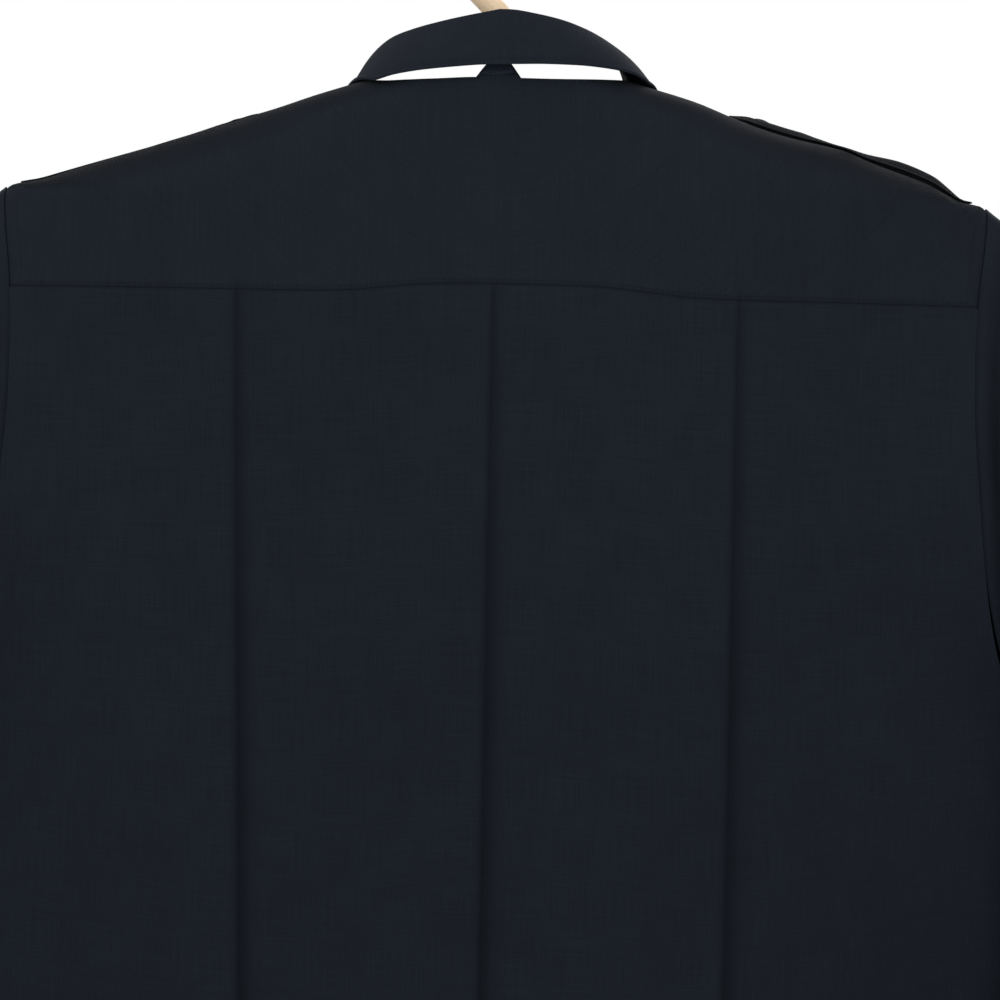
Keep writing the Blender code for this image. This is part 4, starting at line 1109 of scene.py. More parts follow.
@dataclass
class Torso:
    """Yoke, back and fronts, with their seams and stitching."""

    thick: float = 0.9
    face: float = 1.5
    row_step: float = 5.0
    yoke_rows: int = 46
    tuck: float = 7.0
    tuck_depth: float = 1.5
    stitch_in: float = 2.0
    arm_stitch_in: float = 6.0
    hem_stitch_in: float = 7.0
    side_turn: float = 0.028
    tab_heights: tuple[float, ...] = (13.0, 10.0, 7.5, 5.0, 3.0, 1.6, 0.7)
    tab_rise: tuple[float, float, float] = (0.0, -0.487, 0.874)
    tab_half_width: float = 10.8
    tab_edge_shade: float = 0.3
    tab_painted_light_height: float = 3.5
    yoke_corner_x: float = 244.4
    yoke_columns: int = 92
    armhole_fade: tuple[float, float] = (150.0, 185.0)
    ridge_slopes: tuple[float, float] = (0.45, 0.97)
    back_shade: float = 0.045
    crease_shades: tuple[float, float] = (0.14, 0.16)
    crease_shade_drops: tuple[float, float] = (200.0, 420.0)
    crease_places: tuple[float, ...] = (0.25, 0.6, 1.0, 1.4, 1.9, 2.5, 3.2, 4.2, 5.6, 7.5)
    tab_narrowing: float = 0.7
    tab_painted_light: float = 1.4
    crease_spread: float = 1.4
    tab_lift: float = 0.35
    ridge_shade: float = 0.6
    low_shade: tuple[tuple[float, float, float, float, float], ...] = (
        (-225.0, 575.0, 80.0, 120.0, 0.16),
        (205.0, 600.0, 90.0, 110.0, 0.07),
        (0.0, 640.0, 160.0, 110.0, 0.04),
    )

    def seam_shade(self, distance: Array, reach: float, depth: float) -> Array:
        """Painted shade along a seam: depth at the seam, falling to nothing at the reach."""
        return depth * np.exp(-((distance / reach) ** 2))

    def yoke_half(self, side: Side) -> tuple[Array, Array]:
        """Angles and drops of one half of the yoke.

        Args:
            side: The wearer's left or right.

        Returns:
            Grids whose columns run out from the neckline to the seam or the armhole.
        """
        seam_x = graded(0, self.yoke_corner_x, self.yoke_columns, 0.0, 0.0)
        seam_drop = FORM.yoke_seam(side.value * seam_x)
        seam_drop[-1] = FORM.yoke_corner_drop
        arm_back = np.linspace(FORM.yoke_corner_drop, FORM.shoulder_drop, 22)[1:]
        arm_front = np.linspace(FORM.shoulder_drop, FORM.front_corner_drop, 12)[1:]
        out_angle = np.concatenate([
            FORM.angle_at(seam_x, seam_drop, True),
            FORM.angle_at(FORM.armhole.at("back_x", arm_back), arm_back, True),
            FORM.angle_at(FORM.armhole.at("front_x", arm_front), arm_front, False),
        ])
        out_drop = np.concatenate([seam_drop, arm_back, arm_front])
        runs, _, _, corner = FORM.neckline()
        side_run, corner_run = runs[corner - 1], runs[corner]
        ridge = len(seam_x) + len(arm_back) - 1
        run = np.concatenate([
            side_run * np.linspace(0, 1, ridge + 1),
            side_run + (corner_run - side_run) * np.arange(1, len(arm_front) + 1) / len(arm_front),
        ])
        in_angle, in_drop = FORM.neck_point(run)
        share = graded(0, 1, self.yoke_rows, 0.4, 0.7)[:, None]
        angle = side.value * (in_angle + (out_angle - in_angle) * share)
        return angle, in_drop + (out_drop - in_drop) * share

    def yoke(self) -> bpy.types.Object:
        """Back yoke over the shoulders, as far as its seams with the back and the fronts."""
        halves = [self.yoke_half(side) for side in (Side.RIGHT, Side.LEFT)]
        angle = np.concatenate([halves[0][0][:, :0:-1], halves[1][0]], 1)
        drop = np.concatenate([halves[0][1][:, :0:-1], halves[1][1]], 1)
        outer = FORM.cloth_points(angle, drop, self.face)
        edge = np.linalg.norm(outer - outer[-1:], axis=-1)
        neck = np.linalg.norm(outer - outer[:1], axis=-1)
        # Painted shade along the seam with the back, faded out towards the shoulder, a darker rim along the
        # neckline, and painted shade on the shoulder tops where the cloth faces up and catches the top light.
        armhole_fade = smooth_step(*self.armhole_fade, drop[-1:])
        shade = np.maximum(self.seam_shade(edge, 1.2, 0.2) * armhole_fade, self.seam_shade(neck, 2.0, 0.2))
        shade += self.ridge_shade * smooth_step(*self.ridge_slopes, FORM.normal(angle, drop)[..., 2])
        outer += FORM.normal(angle, drop) * (0.22 * np.exp(-((edge / 6.0) ** 2)))[..., None]
        outer, shade, kept = self.with_tab(outer, shade)
        piece = shell("yoke_cloth", outer, self.thick, flip=True, kept=kept, shade=shade)
        return dress(piece, CLOTH, "yoke")

    def with_tab(self, outer: Array, shade: Array) -> tuple[Array, Array, Array]:
        """Adds the tab at centre back, which runs on from the yoke up to the collar.

        Args:
            outer: The yoke's outer face, its first row at the neckline.
            shade: Its shading.

        Returns:
            The grid, its shading and which cells there are. The rows above the neckline climb along the
            stand, x shrinks in proportion to the height, and only the columns of the tab are kept.
        """
        neck = outer[:1]
        height = np.array(self.tab_heights)[:, None]
        rows = neck + height[..., None] * np.array(self.tab_rise)
        tab_normal = np.array([0.0, self.tab_rise[2], -self.tab_rise[1]])
        rows += np.minimum(height / 2, 1)[..., None] * self.tab_lift * tab_normal
        rows[..., 0] *= 1 - self.tab_narrowing * height / self.tab_heights[0]
        inside = np.abs(neck[0, :, 0]) <= self.tab_half_width
        # Painted shade in thin lines along the tab's edges, less painted light that brightens the tab where
        # it rises into the collar's shadow.
        at_edge = np.exp(-(((self.tab_half_width - np.abs(neck[..., 0])) / 0.9) ** 2))
        fade = self.tab_painted_light * smooth_step(0.0, self.tab_painted_light_height, height)
        dark = self.tab_edge_shade * at_edge - fade
        kept = np.ones((len(outer) + len(rows) - 1, outer.shape[1] - 1), bool)
        kept[: len(rows)] = inside[:-1] & inside[1:]
        shade = shade.copy()
        # No painted shade along the neckline at the tab's foot.
        shade[:3] = np.where(np.abs(neck[..., 0]) < self.tab_half_width - 1.5, 0.0, shade[:3])
        return np.concatenate([rows, outer]), np.concatenate([dark, shade]), kept

    def back_grid(self) -> tuple[Array, Array, Array]:
        """Angles, drops and distances below the yoke seam of the back panel.

        Returns:
            Three grids. Columns follow the creases, closer together beside them, and fan out to the armhole
            and side seam. Rows start where the panel is tucked under the yoke, follow the yoke seam and end
            at the hem.
        """
        upper = graded(0, 1, int((FORM.underarm_drop - FORM.yoke_corner_drop) / self.row_step) + 6, 0.6)
        lower = np.linspace(0, 1, int((FORM.hem_centre_drop - FORM.underarm_drop) / self.row_step) + 1)[1:]
        height = FORM.underarm_drop - FORM.yoke_corner_drop
        low_corner = FORM.hem_centre_drop - FORM.hem_side_rise * 0.5
        nominal = np.concatenate([
            FORM.yoke_corner_drop + height * upper,
            FORM.underarm_drop + (low_corner - FORM.underarm_drop) * lower,
        ])[:, None]
        edge_x = np.where(
            nominal < FORM.underarm_drop,
            FORM.armhole.at("back_x", nominal),
            FORM.rings.at("half_width", nominal),
        )
        near = np.array(self.crease_places)
        reach = near[-1]
        halves = []
        for side, name in ((Side.RIGHT, "right"), (Side.LEFT, "left")):
            line = np.abs(FORM.back_creases.at(name, nominal))
            centre = FORM.back_creases.at("centre", nominal) * side.value
            between = np.linspace(0, 1, 24)[1:-1]
            x = np.concatenate([
                centre + near,
                centre + reach + (line - centre - 2 * reach) * between,
                line - near[::-1],
                line,
                line + near,
            ], 1)
            start = FORM.angle_at(x[:, -1:], nominal, True)
            end = FORM.angle_at(edge_x, nominal, True)
            outward = start + (end - start) * graded(0, 1, 34, 0.0, 0.5)[1:]
            halves.append(np.concatenate([FORM.angle_at(x, nominal, True), outward], 1))
        centre = FORM.angle_at(FORM.back_creases.at("centre", nominal), nominal, True)
        angle = np.concatenate([-halves[0][:, ::-1], centre, halves[1]], 1)
        seam = FORM.yoke_seam(FORM.rings.at("half_width", nominal) * np.sin(angle)) + FORM.seam_gap
        share = upper[:, None]
        drop = np.empty_like(angle)
        top = len(upper)
        drop[:top] = seam[:top] + (FORM.underarm_drop - seam[:top]) * share
        hem = FORM.hem_drop(angle[top:])
        drop[top:] = FORM.underarm_drop + (hem - FORM.underarm_drop) * lower[:, None]
        angle = np.concatenate([angle[:1]] * 3 + [angle])
        lead = np.stack([seam[0] - self.tuck, seam[0] - self.tuck * 0.4, seam[0] - 0.5])
        distance = np.concatenate([lead - seam[:1], drop - seam])
        return angle, np.concatenate([lead, drop]), distance

    def back(self) -> bpy.types.Object:
        """Back panel with its three sewn creases. Its top edge runs up inside the yoke."""
        angle, drop, distance = self.back_grid()
        outer = FORM.cloth_points(angle, drop, self.face)
        normal = FORM.normal(angle, drop)
        under = 1 - smooth_step(-0.6, 0.9, distance)
        outer -= normal * (under * self.tuck_depth)[..., None]
        x = FORM.rings.at("half_width", drop) * np.sin(angle)
        crease = np.zeros_like(x)
        for line, on_back in FORM.crease_lines(x, drop):
            if on_back:
                crease = np.maximum(crease, FORM.crease_share((x - line) / self.crease_spread, drop, True))
        # Painted shade under the yoke seam and in the sewn creases, stronger lower down, over a slight
        # painted shade across the whole back.
        seam = self.seam_shade(np.maximum(distance, 0), 1.1, 0.22)
        faint, more = self.crease_shades
        strength = faint + more * smooth_step(*self.crease_shade_drops, drop)
        shade = self.back_shade + np.maximum(seam, crease * strength)
        # Painted shade: soft darker patches low on the back and at its lower corners.
        for place_x, place_drop, reach_x, reach_drop, depth in self.low_shade:
            away = ((x - place_x) / reach_x) ** 2 + ((drop - place_drop) / reach_drop) ** 2
            shade = shade + depth * np.exp(-away)
        piece = shell("back_cloth", outer, self.thick, shade=shade)
        return dress(piece, CLOTH, "back")

    def front_grid(self, inner_x: Array) -> tuple[Array, Array]:
        """Angles and drops of a front.

        Args:
            inner_x: The columns' places between the middle and the pocket's outer edge.

        Returns:
            Grids whose columns run from the inner edge to the armhole and side seam, and whose rows
            follow the neckline and yoke seam at the top and the hem at the foot.
        """
        outer_share = graded(0, 1, 30, 0.0, 0.5)[1:]
        arm_top = float(FORM.armhole.at("front_x", FORM.front_corner_drop))
        outer_x = inner_x[-1] + (arm_top - inner_x[-1]) * outer_share
        top_x = np.concatenate([inner_x, outer_x])
        top_drop = FORM.front_top(np.abs(top_x))
        top_drop[-1] = FORM.front_corner_drop + FORM.seam_gap
        levels = np.linspace(FORM.front_corner_drop, FORM.underarm_drop, 50)[:, None]
        above_flap = FORM.flap_top_drop - FORM.front_corner_drop
        share = np.clip((levels - FORM.front_corner_drop) / above_flap, 0, 1)
        drop = np.where(share < 1, top_drop + (FORM.flap_top_drop - top_drop) * share, levels)
        aim = np.maximum(levels, FORM.flap_top_drop)
        start = FORM.angle_at(np.full_like(aim, inner_x[-1]), aim, False)
        end = FORM.angle_at(FORM.armhole.at("front_x", aim), aim, False)
        aim_x = FORM.rings.at("half_width", aim) * np.sin(start + (end - start) * outer_share)
        x = np.concatenate([
            np.broadcast_to(inner_x, (len(levels), len(inner_x))),
            outer_x + (aim_x - outer_x) * share,
        ], 1)
        x[:, -1] = FORM.armhole.at("front_x", drop[:, -1])
        upper_angle = FORM.angle_at(x, drop, False)
        low_rows = int((FORM.hem_centre_drop - FORM.underarm_drop) / self.row_step)
        lower = np.linspace(0, 1, low_rows + 1)[1:, None]
        low_corner = FORM.hem_centre_drop - FORM.hem_side_rise * 0.5
        nominal = FORM.underarm_drop + (low_corner - FORM.underarm_drop) * lower
        inner = FORM.angle_at(np.broadcast_to(inner_x, (len(nominal), len(inner_x))), nominal, False)
        start = inner[:, -1:]
        end = FORM.angle_at(FORM.rings.at("half_width", nominal), nominal, False)
        lower_angle = np.concatenate([inner, start + (end - start) * outer_share], 1)
        lower_drop = FORM.underarm_drop + (FORM.hem_drop(lower_angle) - FORM.underarm_drop) * lower
        return np.concatenate([upper_angle, lower_angle]), np.concatenate([drop, lower_drop])

    def fronts(self) -> list[bpy.types.Object]:
        """Left and right fronts. The right one runs on under the button band."""
        crease = FORM.front_crease_x
        near = np.array([0.5, 1.1, 1.8, 2.8, 4.2])
        columns = np.unique(np.concatenate([
            np.linspace(17.7, 69.5, 13), np.linspace(69.5, crease - 6, 9),
            crease - near, [crease], crease + near,
            np.linspace(crease + 6, 170.0, 14),
        ]))
        made = []
        for side in Side:
            inner_x = columns
            if side is Side.RIGHT:
                inner_x = np.concatenate([[-17.2, -11.0, -4.0, 4.0, 11.0], columns])
            angle, drop = self.front_grid(inner_x)
            if side is Side.RIGHT:
                angle = -np.where(angle < 0, angle + math.tau, angle)
            outer = FORM.cloth_points(angle, drop, self.face)
            name = f"front_{side.label}"
            # Painted shade along each front's top edge, under the yoke seam and the neckline.
            shade = self.seam_shade(np.linalg.norm(outer - outer[:1], axis=-1), 1.2, 0.4)
            piece = shell(f"{name}_cloth", outer, self.thick, flip=side is Side.RIGHT, shade=shade)
            made.append(dress(piece, CLOTH, name))
        return made

    def stitching(self) -> bpy.types.Object:
        """Topstitching of the yoke, armholes, side seams and hem."""
        lift = self.face + 0.22
        lines = []
        x = np.linspace(-240, 240, 200)
        drop = FORM.yoke_seam(x) - self.stitch_in
        lines.append(torso_line(FORM.angle_at(x, drop, True), drop, lift))
        for side in Side:
            seam_angle, seam_drop = FORM.front_seam(np.linspace(0.02, 0.98, 60))
            lines.append(torso_line(seam_angle, seam_drop - self.stitch_in, lift, side))
            for name, behind in (("back_x", True), ("front_x", False)):
                drop = np.linspace(150.0, 399.0, 120)
                x = FORM.armhole.at(name, drop) - self.arm_stitch_in
                lines.append(torso_line(FORM.angle_at(x, drop, behind), drop, self.face, side))
            drop = np.linspace(408.0, 808.0, 160)
            lines.append(torso_line(np.full_like(drop, math.pi / 2 - self.side_turn), drop, self.face, side))
        angle = np.linspace(-math.pi, math.pi, 900)
        lines.append(torso_line(angle, FORM.hem_drop(angle) - self.hem_stitch_in, self.face))
        return STITCH.sew("torso_stitches", lines)

    def build(self) -> None:
        yoke = self.yoke()
        back = self.back()
        left, right = self.fronts()
        cuts = ((yoke, (0.52, 0.24)), (back, (0.63, 0.72)), (left, (0.33, 0.8)), (right, (0.36, 0.8)))
        for piece, flat in cuts:
            area = cloth_area(piece)
        self.stitching()


@dataclass
class Placket:
    """The button band down the centre front."""

    thick: float = 1.2
    left_x: float = 22.0
    right_x: float = -18.0
    stitch_in: float = 5.5
    clear: float = 0.1
    top_clear: float = 1.0

    def build(self) -> None:
        """Builds the band on the fronts' points, moved out, with its two rows of stitches."""
        low = FORM.cloth + FORM.seam_gap
        x = np.linspace(self.right_x, self.left_x, 17)
        share = np.linspace(0, 1, 160)[:, None]
        top = FORM.front_top(np.abs(x)) + self.top_clear
        foot = FORM.hem_drop(FORM.angle_at(np.abs(x), FORM.hem_centre_drop, False))
        drop = top + (foot - top) * share
        angle = math.pi - np.arcsin(x / FORM.rings.at("half_width", drop))
        outer = FORM.cloth_points(angle, drop, low + self.thick)
        piece = dress(shell("placket_cloth", outer, self.thick - self.clear), CLOTH, "placket")
        lines = []
        for edge in (self.right_x + self.stitch_in, self.left_x - self.stitch_in):
            line_drop = np.linspace(152.0, 884.0, 260)
            line_angle = math.pi - np.arcsin(edge / FORM.rings.at("half_width", line_drop))
            lines.append(torso_line(line_angle, line_drop, low + self.thick))
        STITCH.sew("placket_stitches", lines)


@dataclass
class Pockets:
    """Patch pockets and their buttoned flaps on the fronts."""

    inner_x: float = 45.0
    outer_x: float = 170.0
    pocket_top: float = 266.0
    pocket_foot: float = 415.0
    flap_top: float = 259.0
    flap_foot: float = 320.0
    pocket_wall: float = 1.2
    flap_wall: float = 1.6
    pocket_corner: float = 12.0
    flap_corner: float = 14.0

    def patch(
        self, name: str, side: Side, top: float, foot: float, corner: Array, lift: float, wall: float
    ) -> None:
        """One patch on a front, its stitches beside its edge.

        Args:
            name: The solid's name without its side.
            side: The wearer's left or right.
            top: Drop of the upper edge.
            foot: Drop of the lower edge.
            corner: How much higher the lower edge is at each column.
            lift: Height of the outer face.
            wall: Thickness.
        """
        x = np.linspace(self.inner_x, self.outer_x, len(corner))
        share = np.linspace(0, 1, 40)[:, None]
        low_edge = foot - corner
        drop = top + (low_edge - top) * share
        angle = FORM.angle_at(np.broadcast_to(x, drop.shape), drop, False) * side.value
        outer = FORM.cloth_points(angle, drop, lift)
        label = f"{name}_{side.label}"
        piece = shell(f"{label}_cloth", outer, wall, flip=side is Side.RIGHT)
        dress(piece, CLOTH, label)
        inset = 1.8
        width = self.outer_x - self.inner_x - 2 * inset
        lane = np.linspace(0, 1, 60)
        side_drop = np.linspace(top + 2.0, foot - corner[0] - inset * 0.5, 80)
        foot_x = self.inner_x + inset + width * lane
        foot_drop = np.interp(foot_x, x, low_edge) - inset
        paths = [
            (np.full(80, self.inner_x + inset), side_drop),
            (foot_x, foot_drop),
            (np.full(80, self.outer_x - inset), side_drop),
        ]
        if name == "flap":
            paths.append((foot_x, np.full(60, top + inset)))
        lines = [torso_line(FORM.angle_at(px, pd, False), pd, lift, side) for px, pd in paths]
        STITCH.sew(f"{label}_stitches", lines)

    def build(self) -> None:
        """Builds both pockets and both flaps."""
        away = np.abs(np.linspace(-1, 1, 49))
        pocket_corner = self.pocket_corner * np.clip(away - 0.62, 0, 1) / 0.38
        flap_corner = self.flap_corner * away
        pocket_low = FORM.cloth + FORM.seam_gap
        flap_low = pocket_low + self.pocket_wall + FORM.seam_gap
        for side in Side:
            self.patch("pocket", side, self.pocket_top, self.pocket_foot, pocket_corner,
                       pocket_low + self.pocket_wall, self.pocket_wall)
            self.patch("flap", side, self.flap_top, self.flap_foot, flap_corner,
                       flap_low + self.flap_wall, self.flap_wall)


@dataclass
class Collar:
    """Stand and fall in one piece, with the two gaps beside the centre tab."""

    wall: float = 2.0
    shown_wall: float = 1.7
    seam_gap: float = 0.65
    rest: float = 0.8
    reach_x: float = 60.0
    least_rise: float = 0.4
    over_share: float = 0.97
    fold_radius: float = 2.6
    early_turn: float = 0.13
    window_share: float = 0.45
    gap_start: float = 1.0
    gap_end_left: float = 6.0
    gap_end_right: float = 8.5
    tab_top_x: float = 1.0
    step: float = 0.125
    stitch_in: float = 6.0
    table: Table = Table(
        (
            "place", "foot_run", "fold_x", "fold_y", "fold_drop_left", "fold_drop_right",
            "edge_x_left", "edge_x_right", "edge_y", "edge_drop_left", "edge_drop_right",
        ),
        (
            (0, 0.0, 0.0, 38.0, 49.5, 49.5, 0.0, 0.0, 62.0, 78.5, 78.5),
            (1, 10.5, 6.5, 37.9, 50.9, 49.6, 9.0, 9.0, 62.0, 79.0, 78.3),
            (2, 24.0, 18.0, 36.8, 53.3, 51.2, 24.0, 24.0, 60.5, 80.3, 77.8),
            (3, 40.0, 31.0, 33.5, 56.2, 53.7, 40.0, 40.0, 56.5, 81.9, 77.7),
            (4, 56.0, 43.0, 28.0, 59.2, 57.4, 53.5, 55.0, 49.0, 83.8, 78.2),
            (5, 71.0, 53.0, 20.0, 62.4, 61.8, 63.5, 66.5, 39.0, 86.4, 79.3),
            (6, 84.0, 60.0, 10.5, 66.8, 65.8, 70.0, 74.0, 26.0, 88.0, 81.5),
            (7, 97.0, 64.5, -0.5, 71.0, 70.2, 74.0, 78.5, 8.0, 88.0, 83.5),
            (8, 112.0, 67.0, -13.0, 75.0, 74.8, 77.5, 81.5, -10.0, 88.0, 84.5),
            (9, 125.0, 68.0, -25.0, 78.0, 78.0, 80.5, 83.5, -28.0, 89.0, 86.0),
            (10, 142.0, 66.0, -37.0, 81.0, 81.0, 81.0, 82.5, -47.0, 95.0, 94.0),
            (11, 160.0, 61.0, -47.0, 86.0, 86.0, 76.0, 76.0, -61.5, 113.0, 113.0),
            (12, 178.0, 52.0, -53.0, 95.0, 95.0, 69.0, 69.0, -64.5, 136.0, 136.0),
            (13, 196.0, 40.0, -56.5, 106.5, 106.5, 63.0, 63.0, -65.0, 157.0, 157.0),
            (14, 214.0, 27.0, -58.5, 116.0, 116.0, 58.0, 58.0, -65.3, 172.0, 172.0),
            (15, 230.0, 15.0, -59.5, 121.5, 121.5, 53.0, 53.0, -65.6, 182.0, 182.0),
            (16, 242.6, 8.0, -60.0, 124.0, 124.0, 48.0, 48.0, -66.0, 190.0, 190.0),
        ),
    )

    def clear_of_torso(self, points: Array, side: Side) -> Array:
        """The fall's points, raised where they would touch the shoulder.

        Args:
            points: A row of points on the wearer's left.
            side: The side that they are for.

        Returns:
            The points, each as high as itself or as the shoulder under it plus the walls and a small
            rest. The higher of the two is taken softly, as half their sum plus half the root of their
            difference squared and a little.
        """
        over = np.abs(points[:, 1]) < self.over_share * FORM.rings.column("back_depth")[0]
        angle, drop = FORM.ridge_place(points[:, 0], np.where(over, points[:, 1], 0.0))
        base, normal = FORM.on_side(angle, drop, side)
        rise = np.maximum(normal[:, 2], self.least_rise)
        least = base[:, 2] + (FORM.cloth + self.wall / 2 + self.rest) / rise
        softly = (points[:, 2] + least + np.sqrt((points[:, 2] - least) ** 2 + 0.5)) / 2
        raised = points.copy()
        raised[:, 2] = np.where(over, softly, points[:, 2])
        return raised

    def half(self, side: Side) -> Array:
        """Centre line of one side of the collar.

        Args:
            side: The wearer's left or right.

        Returns:
            Rows from the seam up the stand, round the fold and down the fall, and columns from centre
            back to the front end. The fold is an arc that ends a little before the place where a line to
            the fall's edge would touch it, and from there the fall bends down to its edge, (1-s)^2 *
            arc's end + 2s(1-s) * a point ahead of it + s^2 * edge.
        """
        place = np.arange(0, len(self.table.rows) - 1 + self.step / 2, self.step)
        angle, drop = FORM.neck_point(self.table.at("foot_run", place))
        seam, normal = FORM.on_side(angle, drop, side)
        away = unit(np.cross(np.gradient(seam, axis=0), normal))
        reach = self.seam_gap + self.wall / 2 * np.clip(seam[:, :1] / self.reach_x, 0, 1)
        foot = seam + normal * FORM.cloth / 2 + away * reach
        label = side.label
        crown = np.stack([
            self.table.at("fold_x", place),
            self.table.at("fold_y", place),
            -self.table.at(f"fold_drop_{label}", place),
        ], -1)
        edge = np.stack([
            self.table.at(f"edge_x_{label}", place), self.table.at("edge_y", place),
            -self.table.at(f"edge_drop_{label}", place),
        ], -1)
        flat = np.gradient(crown, axis=0)
        out = unit(np.stack([-flat[:, 1], flat[:, 0], np.zeros(len(flat))], -1))
        up = np.array([0.0, 0.0, 1.0])
        axis = crown - self.fold_radius * up
        ahead = ((edge - axis) * out).sum(-1)
        below = (edge - axis)[:, 2]
        touch = math.tau + np.arctan2(below, -ahead) - np.arccos(self.fold_radius / np.hypot(ahead, below))
        last = (touch - self.early_turn)[:, None]
        roll = []
        for share in np.linspace(0, 1, 11):
            turn = last * share
            roll.append(axis + self.fold_radius * (out * -np.cos(turn) + up * np.sin(turn)))
        length = np.linalg.norm(edge - roll[-1], axis=-1, keepdims=True)
        guide = roll[-1] + (out * np.sin(last) + up * np.cos(last)) * length / 2
        stand = [foot + (roll[0] - foot) * s for s in (0.0, 0.15, 0.3, self.window_share, 0.63, 0.82)]
        for row, narrow in zip(stand, (0.0, 0.33, 0.67, 1.0, 0.65, 0.3)):
            self.narrow_tab(row, place, narrow)
        fall = []
        for s in np.linspace(0, 1, 19)[1:]:
            bent = (1 - s) ** 2 * roll[-1] + 2 * s * (1 - s) * guide + s * s * edge
            fall.append(self.clear_of_torso(bent, side))
        points = np.array(stand + roll + fall)
        points[..., 0] *= side.value
        return points

    def narrow_tab(self, row: Array, place: Array, narrow: float) -> None:
        """Draws a row's columns in towards the middle of the tab, and eases them back by the second place.

        Args:
            row: The row's points, changed in place.
            place: The columns' places.
            narrow: Share of the way in, from 0 to 1.
        """
        edge_x = float(np.interp(self.gap_start, place, row[:, 0]))
        second_x = float(np.interp(2.0, place, row[:, 0]))
        target = edge_x + (self.tab_top_x - edge_x) * narrow
        inside = row[:, 0] * target / edge_x
        outside = target + (row[:, 0] - edge_x) * (second_x - target) / (second_x - edge_x)
        row[:, 0] = np.where(place <= self.gap_start, inside, np.where(place < 2.0, outside, row[:, 0]))

    def build(self) -> None:
        """Builds the collar and the stitches beside the fall's edge."""
        left, right = self.half(Side.LEFT), self.half(Side.RIGHT)
        middle = np.concatenate([right[:, :0:-1], left], 1)
        normal = grid_normals(middle)
        outer = middle + normal * self.shown_wall / 2
        rows, columns = middle.shape[:2]
        kept = np.ones((rows - 1, columns - 1), bool)
        centre = columns // 2
        place = (np.arange(columns - 1) + 0.5 - centre) * self.step
        gap = ((place > self.gap_start) & (place < self.gap_end_left)) | (
            (place < -self.gap_start) & (place > -self.gap_end_right)
        )
        kept[:3, gap] = False
        edge = np.linalg.norm(outer - outer[-1:], axis=-1)
        # Painted shade in a thin line just above the fall's lower edge, and a faint painted highlight along
        # the edge itself.
        shade = 0.3 * np.exp(-(((edge - 2.6) / 0.7) ** 2)) - 0.12 * np.exp(-(((edge - 0.6) / 0.8) ** 2))
        piece = shell("collar_cloth", outer, self.shown_wall, kept=kept, shade=shade)
        dress(piece, CLOTH, "collar")
        min(cloth_area(piece), 0.045)
        low = outer[-9:][::-1]
        distance = np.linalg.norm(low - low[:1], axis=-1)
        line = np.stack([
            [np.interp(self.stitch_in, distance[:, j], low[:, j, k]) for j in range(columns)]
            for k in range(3)
        ], -1)
        STITCH.sew("collar_stitches", [(line, normal[-4])])


